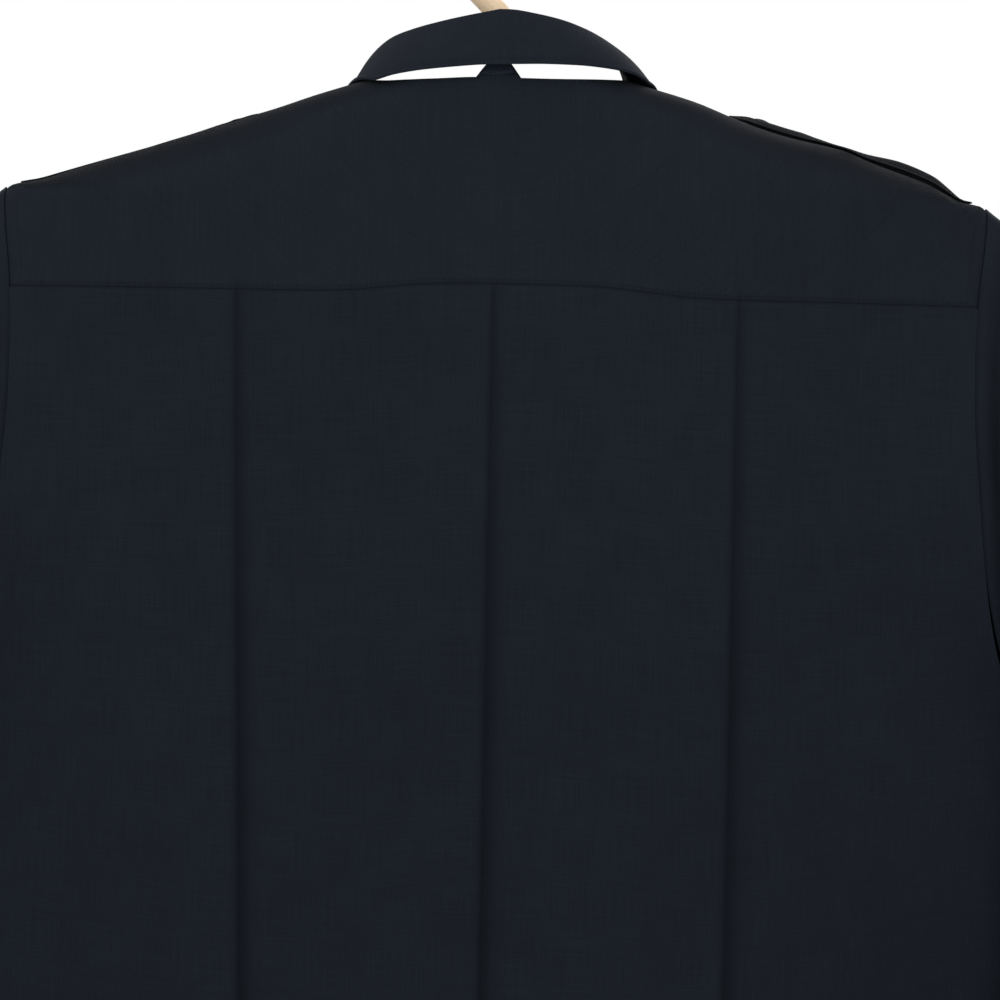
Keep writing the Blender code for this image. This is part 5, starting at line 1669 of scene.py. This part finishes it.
@dataclass
class Sleeves:
    """Long sleeves that hang beside the body, with their elbow creases."""

    thick: float = 0.9
    columns: int = 96
    cap_rows: int = 26
    lower_rows: int = 78
    hang_drop: float = 430.0
    cuff_seam: float = 704.0
    armhole_gap: float = 0.55
    underarm_start: float = 330.0
    cap_bend: tuple[float, float, float] = (0.72, 0.6, 0.17)
    recess_place: float = 12.5
    recess_reach: float = 6.0
    recess_depth: float = 3.0
    recess_drop: float = 290.0
    recess_length: float = 120.0
    recess_shade: float = 0.62
    back_drops: tuple[float, ...] = (143, 153, 166, 180, 193.5, 217, 240, 262, 290, 320, 350, 380, 403)
    front_drops: tuple[float, ...] = (143, 154, 166, 185, 204, 223, 243, 262, 290, 320, 350, 380, 403)
    table: Table = Table(
        ("drop", "centre_x", "half_width", "half_depth"),
        (
            (430.0, 326.0, 46.0, 53.0),
            (520.0, 324.0, 44.0, 50.0),
            (610.0, 321.0, 41.0, 46.5),
            (670.0, 319.0, 39.0, 44.0),
            (704.0, 318.0, 35.0, 39.5),
            (771.0, 316.0, 35.0, 39.5),
        ),
    )
    long_folds: tuple[tuple[float, float, float], ...] = (
        (118.0, 22.0, 0.22), (242.0, 20.0, 0.18), (48.0, 24.0, 0.1), (318.0, 22.0, 0.08),
    )
    elbow_creases: tuple[tuple[float, float, float, float, float], ...] = (
        (505.0, 150.0, 34.0, 9.0, 1.8),
        (540.0, 205.0, 30.0, 8.0, 2.0),
        (566.0, 120.0, 28.0, 9.0, 1.5),
        (598.0, 175.0, 36.0, 10.0, 1.7),
        (470.0, 230.0, 26.0, 10.0, 1.2),
        (640.0, 140.0, 24.0, 8.0, 1.1),
        (560.0, 20.0, 30.0, 12.0, 1.0),
        (610.0, 330.0, 28.0, 11.0, 1.2),
        (668.0, 250.0, 22.0, 8.0, 1.0),
        (682.0, 70.0, 20.0, 8.0, 0.9),
    )

    def armhole_loop(self, turn: Array, lift: float) -> Array:
        """The armhole's edge on the wearer's left.

        Args:
            turn: 0 at the shoulder, half a turn at the underarm, going down the back.
            lift: Height above the torso's inner face.

        Returns:
            Points of the edge, moved out by the seam's gap.
        """
        share = turn / math.pi
        knots = np.linspace(0, 1, len(self.back_drops))
        back_drop = monotone_cubic(knots, np.array(self.back_drops, float), np.clip(share, 0, 1))
        front_drop = monotone_cubic(knots, np.array(self.front_drops, float), np.clip(2 - share, 0, 1))
        behind = share <= 1
        drop = np.where(behind, back_drop, front_drop)
        angle = np.where(
            behind,
            FORM.angle_at(FORM.armhole.at("back_x", drop), drop, True),
            FORM.angle_at(FORM.armhole.at("front_x", drop), drop, False),
        )
        loop = FORM.cloth_points(angle, drop, lift)
        underarm = np.clip((drop - self.underarm_start) / (FORM.underarm_drop - self.underarm_start), 0, 1)
        loop[:, 0] += self.armhole_gap + (2 * FORM.cloth + FORM.seam_gap) * underarm
        return loop

    def ring(self, turn: Array, drop: float) -> Array:
        """A level ring of the hanging sleeve: an ellipse drawn in at its long folds.

        Args:
            turn: Angles round the ring.
            drop: Drops.

        Returns:
            Points of the left sleeve.
        """
        radius = np.ones_like(turn)
        for place, half_width, depth in self.long_folds:
            away = (np.degrees(turn) - place + 180) % 360 - 180
            radius -= depth * np.exp(-((away / half_width) ** 2))
        x = self.table.at("centre_x", drop) + self.table.at("half_width", drop) * radius * np.cos(turn)
        y = self.table.at("half_depth", drop) * radius * np.sin(turn)
        return np.stack([x, y, np.full_like(x, -drop)], -1)

    def surface(self) -> Array:
        """The left sleeve's outer face.

        Returns:
            Rings from the armhole to the cuff. The cap is a bend from the armhole's edge to the first
            level ring, (1-t)^2 * edge + 2t(1-t) * bend + t^2 * ring, and short creases are pressed in
            round the elbow.
        """
        turn = np.linspace(0, math.tau, self.columns, endpoint=False)
        first = self.armhole_loop(turn, 0.0)
        face = self.armhole_loop(turn, FORM.cloth)
        hanging = self.ring(turn, self.hang_drop)
        bend = first + (hanging - first) * np.array(self.cap_bend)
        shares = graded(0, 1, self.cap_rows, 0.5)[:-1]
        rings = [(1 - t) ** 2 * first + 2 * t * (1 - t) * bend + t**2 * hanging for t in shares]
        drops = np.linspace(self.hang_drop, self.cuff_seam, self.lower_rows)
        grid = np.array(rings + [self.ring(turn, drop) for drop in drops])
        outward = -grid_normals(grid, around=True)
        drop = -grid[..., 2]
        lift = np.full(drop.shape, FORM.cloth)
        degrees = np.degrees(turn)[None]
        for at_drop, place, reach, height, depth in self.elbow_creases:
            away = (degrees - place + 180) % 360 - 180
            line = at_drop + 14.0 * np.sin(np.radians(away) * 1.6)
            lift -= depth * np.exp(-((away / reach) ** 2)) * np.exp(-(((drop - line) / height) ** 2))
        lift += 0.25 * np.sin(drop / 17.0 + 2 * np.sin(turn)) * np.sin(turn * 3 + drop / 60.0)
        lift -= self.recess_depth * self.recess(grid, drop)
        grid = grid + outward * lift[..., None]
        blend = np.clip(np.arange(len(grid)) / 4.0, 0, 1)[:, None, None]
        underarm = np.clip(
            (drop[0] - self.underarm_start) / (FORM.underarm_drop - self.underarm_start), 0, 1
        )[None, :, None]
        seam = face[None] + (grid - grid[:1])
        return grid + (seam - grid) * (1 - blend) * (1 - underarm)

    def recess(self, grid: Array, drop: Array) -> Array:
        """The trough that runs down the sleeve beside the armhole.

        Args:
            grid: Rings of the sleeve from the armhole.
            drop: Their drops.

        Returns:
            A bell of the distance from the seam times a bell of the drop, from 0 to 1.
        """
        edge = np.linalg.norm(grid - grid[:1], axis=-1)
        across = np.exp(-(((edge - self.recess_place) / self.recess_reach) ** 2))
        return across * np.exp(-(((drop - self.recess_drop) / self.recess_length) ** 2))

    def build(self) -> None:
        """Builds both sleeves, the right one as a mirror image."""
        outer = self.surface()
        edge = np.linalg.norm(outer - outer[:1], axis=-1)
        # Painted shade along the armhole seam below the shoulder, and in the trough that runs down beside it.
        shade = 0.35 * np.exp(-((edge / 1.1) ** 2)) * smooth_step(150.0, 230.0, -outer[..., 2])
        shade = np.maximum(shade, self.recess_shade * self.recess(outer, -outer[..., 2]))
        for side in Side:
            name = f"sleeve_{side.label}"
            left = side is Side.LEFT
            piece = shell(
                f"{name}_cloth", outer * side.mirror, self.thick, around=True, flip=left, shade=shade
            )
            dress(piece, CLOTH, name)
            min(cloth_area(piece), 0.235)


@dataclass
class Cuffs:
    """Buttoned cuffs with a narrow slit."""

    top: float = 704.6
    foot: float = 771.0
    half_width: float = 36.0
    half_depth: float = 40.5
    wall: float = 2.4
    opening: float = 100.0
    slit: float = 0.016
    edge_in: float = 1.8
    hem_in: float = 6.0
    button_turn: float = 12.0
    button_drop: float = 737.87

    def points(self, turn: Array, drop: Array, out: float) -> tuple[Array, Array]:
        """Points and directions of the left cuff: an ellipse round the sleeve's middle, moved out.

        Args:
            turn: Angles round the cuff.
            drop: Drops.
            out: How far out from the sleeve.

        Returns:
            Points and unit vectors.
        """
        centre = Sleeves().table.at("centre_x", drop)
        outward = np.stack([np.cos(turn), np.sin(turn), np.zeros_like(turn)], -1)
        x = centre + self.half_width * np.cos(turn)
        ring = np.stack([x, self.half_depth * np.sin(turn), -np.asarray(drop) * np.ones_like(turn)], -1)
        return ring + outward * out, outward

    def build(self) -> None:
        """Builds both cuffs and the stitches beside their edges."""
        turn = math.radians(self.opening) + np.linspace(0, math.tau - self.slit, 120)
        drops = graded(self.top, self.foot, 30)[:, None]
        grid_turn, grid_drop = np.broadcast_arrays(turn[None], drops)
        outer, _ = self.points(grid_turn, grid_drop, self.wall)
        for side in Side:
            name = f"cuff_{side.label}"
            piece = shell(f"{name}_cloth", outer * side.mirror, self.wall, flip=side is Side.LEFT)
            dress(piece, CLOTH, name)
            lines = []
            for drop in (self.top + self.edge_in, self.foot - self.edge_in, self.foot - self.hem_in):
                points, normals = self.points(turn[2:-2], np.full(len(turn) - 4, drop), self.wall)
                lines.append((points * side.mirror, normals * side.mirror))
            STITCH.sew(f"{name}_stitches", lines)


@dataclass
class Straps:
    """Shoulder straps with the waves of their cloth."""

    gap: float = 0.3
    wall: float = 1.0
    button_x: float = 134.0
    button_share: float = 0.38
    stitch_in: float = 4.0
    rear_start: float = 0.3
    rear_fall: float = 0.8
    rear_shade: float = 0.78
    shade_shares: tuple[float, float] = (-0.1, 0.5)
    table: Table = Table(
        (
            "x", "middle_y_left", "middle_y_right", "half_width_left", "half_width_right",
            "lift_left", "lift_right",
        ),
        (
            (118.0, -15.0, -13.0, 1.5, 1.5, 1.4, 1.9),
            (128.0, -17.0, -13.5, 12.5, 14.5, 1.9, 4.2),
            (142.0, -19.0, -14.0, 13.5, 16.0, 1.5, 5.0),
            (154.0, -20.0, -14.5, 14.0, 16.5, 0.8, 4.9),
            (164.0, -20.0, -14.5, 14.0, 17.0, 0.2, 3.5),
            (175.0, -19.5, -14.5, 14.0, 17.0, 0.0, 2.4),
            (190.0, -18.0, -13.5, 14.0, 17.0, 0.0, 4.1),
            (206.0, -15.5, -11.5, 14.0, 16.5, 0.0, 5.8),
            (220.0, -13.5, -10.5, 13.5, 15.5, 0.0, 5.2),
            (234.0, -12.5, -9.5, 12.5, 13.5, 0.1, 2.6),
            (244.0, -12.0, -8.0, 10.5, 11.0, 0.1, 0.9),
        ),
    )

    def surface(self, x: Array, share: Array, side: Side, lift: float) -> tuple[Array, Array]:
        """Points and directions on or above a strap.

        Args:
            x: Places along the strap, from its point to the sleeve.
            share: Places across, from -1 at the rear edge to 1 at the front edge.
            side: The wearer's left or right.
            lift: Height above the strap's underside.

        Returns:
            The torso's surface under each place, moved out by the strap's own lift and this one. The
            strap's own lift falls off to the rear edge, which curls down to the yoke.
        """
        y = self.table.at(f"middle_y_{side.label}", x) - share * self.table.at(f"half_width_{side.label}", x)
        angle, drop = FORM.ridge_place(x, y)
        fall = 1 - self.rear_fall * smooth_step(self.rear_start, 1.0, -share)
        lift = FORM.cloth + self.gap + self.table.at(f"lift_{side.label}", x) * fall + lift
        normal = FORM.normal(side.value * angle, drop)
        return FORM.section(side.value * angle, drop) + normal * lift[..., None], normal

    def build(self) -> None:
        """Builds both straps and the stitches along their edges."""
        x = np.concatenate([graded(118.0, 128.0, 12, 0.6), np.linspace(128.0, 244.0, 70)[1:]])
        share = np.linspace(-1, 1, 21)
        grid_x, grid_share = np.broadcast_arrays(x[None], share[:, None])
        for side in Side:
            outer, _ = self.surface(grid_x, grid_share, side, self.wall)
            name = f"strap_{side.label}"
            # Painted shade over the rear half of each strap, where it curls down to the yoke and turns from
            # the light.
            piece = shell(f"{name}_cloth", outer, self.wall, flip=side is Side.RIGHT,
                          shade=self.rear_shade * smooth_step(*self.shade_shares, -grid_share))
            dress(piece, CLOTH, name)
            lane = np.linspace(131.0, 240.0, 80)
            inset = 1 - self.stitch_in / self.table.at(f"half_width_{side.label}", lane)
            lines = [self.surface(lane, inset * end, side, self.wall) for end in (-1, 1)]
            STITCH.sew(f"{name}_stitches", lines)


@dataclass
class Buttons:
    """Four-hole buttons on the band, flaps, straps and cuffs."""

    radius: float = 5.8
    depth: float = 2.4
    rim: float = 1.3
    band_wall: float = 1.3
    hole: float = 0.85
    hole_place: float = 1.45
    sides: int = 48
    front_drops: tuple[float, ...] = (196.0, 286.0, 376.0, 466.0, 556.0, 646.0, 736.0)
    flap_drop: float = 309.0

    def pattern(self) -> tuple[Array, list]:
        """One button, its underside on the XY plane.

        Returns:
            Points and faces of a turned profile, with a raised rim, a hollow middle and four holes cut
            through.
        """
        r, d = self.radius, self.depth
        profile = [
            (0.0, 0.0), (r * 0.8, 0.0), (r * 0.94, 0.25), (r, 0.8), (r, 1.3), (r * 0.97, 1.9), (r * 0.9, d),
            (r * 0.8, d), (r - self.rim - 0.6, 1.75), (r * 0.4, 1.5), (0.0, 1.45),
        ]
        shape = bmesh.new()
        edge = [shape.verts.new((x, 0, z)) for x, z in profile]
        loop = [shape.edges.new((a, b)) for a, b in zip(edge, edge[1:])]
        bmesh.ops.spin(
            shape, geom=edge + loop, axis=(0, 0, 1), cent=(0, 0, 0), angle=math.tau, steps=self.sides,
            use_merge=True,
        )
        bmesh.ops.remove_doubles(shape, verts=shape.verts, dist=1e-4)
        bmesh.ops.recalc_face_normals(shape, faces=shape.faces)
        mesh = bpy.data.meshes.new("button_pattern")
        shape.to_mesh(mesh)
        shape.clear()
        for turn in range(4):
            angle = math.radians(45 + 90 * turn)
            out = self.hole_place * 1.2
            spot = Matrix.Translation((out * math.cos(angle), out * math.sin(angle), d / 2))
            bmesh.ops.create_cone(
                shape, cap_ends=True, segments=14, radius1=self.hole, radius2=self.hole, depth=d * 3,
                matrix=spot,
            )
        drill_mesh = bpy.data.meshes.new("button_drills")
        shape.to_mesh(drill_mesh)
        shape.free()
        button = bpy.data.objects.new("button_pattern", mesh)
        drill = bpy.data.objects.new("button_drills", drill_mesh)
        for item in (button, drill):
            bpy.context.scene.collection.objects.link(item)
        cut = button.modifiers.new("holes", "BOOLEAN")
        cut.operation = "DIFFERENCE"
        cut.object = drill
        cut.solver = "EXACT"
        bpy.context.view_layer.update()
        done = button.evaluated_get(bpy.context.evaluated_depsgraph_get()).to_mesh()
        points = np.zeros(len(done.vertices) * 3)
        done.vertices.foreach_get("co", points)
        faces = [tuple(face.vertices) for face in done.polygons]
        bpy.data.objects.remove(button)
        bpy.data.objects.remove(drill)
        return points.reshape(-1, 3), faces

    def threads(self) -> list[tuple[Array, Array]]:
        """Two bars of thread across the middle, as lines for stitches in the button's own frame."""
        lines = []
        place = self.hole_place * 1.2 * math.sqrt(0.5)
        for y in (-place, place):
            x = np.linspace(-place, place, 7)
            z = 1.5 + 0.5 * np.cos(np.linspace(-1.3, 1.3, 7))
            lines.append((np.stack([x, np.full(7, y), z], -1), np.tile([0.0, 0.0, 1.0], (7, 1))))
        return lines

    def placed(self, points: Array, spot: Array, normal: Array) -> Array:
        """Points of the button's frame, moved to a spot and turned to face a direction.

        Args:
            points: Points in the button's frame.
            spot: The underside's middle.
            normal: The direction that the button faces.

        Returns:
            The same points on the shirt.
        """
        up = unit(np.asarray(normal, float))
        side = unit(np.cross([0.0, 0.2, 1.0], up))
        return spot + points[..., :1] * side + points[..., 1:2] * np.cross(up, side) + points[..., 2:] * up

    def spots(self) -> dict[str, tuple[Array, Array]]:
        """The underside's middle and the direction of each button, by the name of its solid."""
        found = {}
        band = FORM.cloth + FORM.seam_gap + self.band_wall + FORM.seam_gap
        middle_x = (Placket().left_x + Placket().right_x) / 2
        for number, drop in enumerate(self.front_drops, 1):
            angle = FORM.angle_at(middle_x, drop, False)
            found[f"button_front_{number}"] = self.on_torso(angle, drop, band)
        pockets = Pockets()
        flap = FORM.cloth + pockets.pocket_wall + pockets.flap_wall + 3 * FORM.seam_gap
        straps = Straps()
        cuffs = Cuffs()
        for side in Side:
            angle = FORM.angle_at(FORM.front_crease_x, self.flap_drop, False) * side.value
            found[f"button_flap_{side.label}"] = self.on_torso(angle, self.flap_drop, flap)
            spot, normal = straps.surface(
                np.array([straps.button_x]), np.array([straps.button_share]), side, straps.wall
            )
            found[f"button_strap_{side.label}"] = (spot[0], normal[0])
            turn = math.radians(cuffs.opening + cuffs.button_turn)
            spot, normal = cuffs.points(
                np.array([turn]), np.array([cuffs.button_drop]), cuffs.wall + FORM.seam_gap
            )
            found[f"button_cuff_{side.label}"] = (spot[0] * side.mirror, normal[0] * side.mirror)
        return found

    def on_torso(self, angle: float, drop: float, lift: float) -> tuple[Array, Array]:
        """A spot on the torso's surface and its direction."""
        angle, drop = np.array([float(angle)]), np.array([float(drop)])
        return FORM.cloth_points(angle, drop, lift, folded=False)[0], FORM.normal(angle, drop)[0]

    def build(self) -> None:
        """Builds every button with its thread."""
        points, faces = self.pattern()
        thread = Stitching(pitch=1.2, filled=1.3, radius=0.3)
        for name, (spot, normal) in self.spots().items():
            piece = make_mesh(f"{name}_resin", self.placed(points, spot, normal), faces, sharp=30.0)
            dress(piece, RESIN, name)
            sewn, sewn_faces = thread.along(self.threads())
            dress(make_mesh(f"{name}_thread", self.placed(sewn, spot, normal), sewn_faces), THREAD)


@dataclass
class Hanger:
    """Plain pale hanger inside the shoulders, and its round hook."""

    reach: float = 208.0
    half_height: float = 7.0
    half_depth: float = 6.0
    clear: float = 0.9
    neck_drop: float = 84.0
    saddle: float = 2.0
    inner_x: float = 70.0
    rod: float = 12.0
    hook_inner: float = 16.0
    tip_turn: float = 205.0
    bend: float = 3.0
    sides: int = 28

    def bar(self, name: str, path: Array, radii: Array) -> bpy.types.Object:
        """A closed bar along a path.

        Args:
            name: The piece's name.
            path: Points of its centre line in the XZ plane.
            radii: Its half thickness in that plane and along Y at each point.

        Returns:
            The bar, with oval sections square to the path and rounded ends.
        """
        ahead = unit(np.gradient(path, axis=0))
        ends = []
        for end, sign in ((0, -1), (-1, 1)):
            size = radii[end].min()
            turn = np.radians([25, 50, 70, 85])
            step = ahead[end] * sign * size * np.sin(turn)[:, None] * 0.5
            ends.append((path[end] + step, radii[end] * np.cos(turn)[:, None]))
        path = np.concatenate([ends[0][0][::-1], path, ends[1][0]])
        radii = np.concatenate([ends[0][1][::-1], radii, ends[1][1]])
        ahead = unit(np.gradient(path, axis=0))
        beside = np.cross(ahead, np.array([0.0, 1.0, 0.0]))
        turn = np.linspace(0, math.tau, self.sides, endpoint=False)[None, :, None]
        points = (
            path[:, None]
            + beside[:, None] * np.cos(turn) * radii[:, None, :1]
            + np.array([0.0, 1.0, 0.0]) * np.sin(turn) * radii[:, None, 1:]
        )
        rows = len(path)
        faces = quads(rows, self.sides, True, None).tolist()
        faces += [list(range(self.sides)), list(range((rows - 1) * self.sides, rows * self.sides))[::-1]]
        run = np.concatenate([[0], np.cumsum(np.linalg.norm(np.diff(path, axis=0), axis=1))])
        around = np.abs(np.linspace(-1, 1, self.sides, endpoint=False)) * 18.0
        uv = np.stack(np.broadcast_arrays(around[None], run[:, None]), -1).reshape(-1, 2) * MM
        return make_mesh(name, points.reshape(-1, 3), faces, uv)

    def build(self) -> None:
        """Builds the body and the hook."""
        x = np.linspace(-self.reach, self.reach, 121)
        drops = np.linspace(FORM.neck_side_drop, FORM.shoulder_drop + 5, 200)
        ridge = np.interp(np.abs(x), FORM.rings.at("half_width", drops), drops)
        lowest = np.minimum(FORM.shoulder_shift.at("rise", x), FORM.shoulder_shift.at("rise", -x))
        sunk = np.maximum(0, -lowest)
        saddle = self.neck_drop + self.saddle * (1 - np.abs(x) / self.inner_x)
        ridge = np.where(np.abs(x) < self.inner_x, saddle, ridge)
        ridge += sunk * (1 - smooth_step(*FORM.shift_drops, ridge))
        smooth = np.convolve(np.pad(ridge, 4, "edge"), np.ones(9) / 9, "valid")
        ridge = np.maximum(ridge, smooth)
        round_end = np.sqrt(np.clip(1 - (np.abs(x) / (self.reach + 1.5)) ** 14, 0.05, 1))
        radii = np.stack([self.half_height * round_end, self.half_depth * round_end], -1)
        path = np.stack([x, np.zeros_like(x), -(ridge + self.clear + self.half_height)], -1)
        dress(self.bar("hanger_wood", path, radii), WOOD, "hanger_body")
        radius = self.hook_inner + self.rod / 2
        arc = np.radians(np.linspace(self.tip_turn, -45, 60))
        crown = np.stack([radius * np.cos(arc), np.zeros(60), -self.hook_inner + radius * np.sin(arc)], -1)
        lane = np.array([[1 / 3], [2 / 3], [1.0]])
        straight = crown[-1] + np.array([-1, 0, -1]) * (crown[-1, 0] - self.bend) * lane
        foot_drop = self.neck_drop + self.saddle + self.clear - FORM.seam_gap - 0.2
        top = straight[-1, 2] - self.bend * 1.4
        foot = -foot_drop + self.rod * 0.3
        stem = np.array([[1.6, 0, straight[-1, 2] - self.bend * 0.35],
                         [0.6, 0, straight[-1, 2] - self.bend * 0.8],
                         [0, 0, top], [0, 0, (top + foot) / 2], [0, 0, foot]])
        path = np.concatenate([crown, straight, stem])
        rod = np.full((len(path), 2), self.rod / 2)
        rod[0] *= 0.8
        dress(self.bar("hook_wood", path, rod), WOOD, "hanger_hook")


def face(made: bpy.types.Object, right: Array, up: Array, place: Array) -> None:
    """Puts a camera or lamp at a place in metres, looking away from right x up.

    Args:
        made: The camera or lamp.
        right: Direction of its right.
        up: Direction of its top.
        place: Where it stands.
    """
    matrix = np.eye(4)
    matrix[:3] = np.stack([right, up, np.cross(right, up), place], 1)
    made.matrix_world = Matrix(matrix.tolist())


@dataclass
class Studio:
    """Pale floor, soft light and the camera."""

    camera_place: tuple[float, float, float] = (-5.5, 2057.0, -296.5)
    lens: float = 144.0
    tilt: float = 0.0227
    floor_drop: float = 1010.0
    floor_reach: float = 6.0
    white: float = 1.0
    lamps: tuple[tuple[str, float, float], ...] = (
        ("back_lamp", 500.0, 1600.0),
        ("front_lamp", -500.0, -1600.0),
    )
    lamp_rise: float = 700.0
    lamp_power: float = 10.0
    lamp_size: tuple[float, float] = (1.4, 1.0)
    lit_place: tuple[float, float, float] = (0.0, 0.0, -350.0)

    def camera(self) -> None:
        """Camera behind the shirt, level and turned a little about its own axis."""
        data = bpy.data.cameras.new("photo_camera")
        data.lens = self.lens
        data.sensor_width = 36.0
        data.clip_start, data.clip_end = 0.05, 50.0
        made = linked("photo_camera", data)
        right = unit(np.array([-1.0, 0.0, self.tilt]))
        up = unit(np.array([self.tilt, 0.0, 1.0]))
        face(made, right, up, np.array(self.camera_place) * MM)
        bpy.context.scene.camera = made

    def light(self) -> None:
        """An even white room with large soft lamps above the front and the back."""
        world = bpy.data.worlds.new("white_room")
        bpy.context.scene.world = world
        world.use_nodes = True
        ground = world.node_tree.nodes["Background"]
        ground.inputs["Color"].default_value = (1, 1, 1, 1)
        ground.inputs["Strength"].default_value = self.white
        for name, x, y in self.lamps:
            data = bpy.data.lights.new(name, "AREA")
            data.shape = "RECTANGLE"
            data.size, data.size_y = self.lamp_size
            data.energy = self.lamp_power
            place = np.array([x, y, self.lamp_rise]) * MM
            back = unit(place - np.array(self.lit_place) * MM)
            right = unit(np.cross([0.0, 0.0, 1.0], back))
            face(linked(name, data), right, np.cross(back, right), place)
        view = bpy.context.scene.view_settings
        view.view_transform = "Standard"
        view.look = "None"

    def floor(self) -> None:
        """A broad pale floor under the shirt."""
        mesh = bpy.data.meshes.new("floor")
        reach, z = self.floor_reach, -self.floor_drop * MM
        corners = [(-reach, -reach, z), (reach, -reach, z), (reach, reach, z), (-reach, reach, z)]
        mesh.from_pydata(corners, [], [(0, 1, 2, 3)])
        made = linked("floor", mesh)
        pale = bpy.data.materials.new("pale_floor")
        pale.use_nodes = True
        nodes = Nodes(pale.node_tree)
        shader = pale.node_tree.nodes["Principled BSDF"]
        grain = nodes.noise(nodes.add("ShaderNodeTexCoord").outputs["Object"], 3.0, 2.0)
        tone = nodes.math("MULTIPLY_ADD", grain, 0.03, 0.78)
        grey = nodes.add("ShaderNodeCombineXYZ", {0: tone, 1: tone, 2: tone})
        nodes.link(grey.outputs[0], shader.inputs["Base Color"])
        shader.inputs["Roughness"].default_value = 0.9
        mesh.materials.append(pale)

    def build(self) -> None:
        """Sets up the floor, the light and the camera."""
        self.floor()
        self.light()
        self.camera()


def main() -> None:
    """Builds the shirt's looks in order."""
    logging.basicConfig(level=logging.INFO, format="%(name)s: %(message)s")
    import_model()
    cloth = (Torso, Placket, Pockets, Collar, Sleeves, Cuffs, Straps)
    for part in (*cloth, Buttons, Hanger, Studio):
        part().build()


if __name__ == "__main__":
    main()
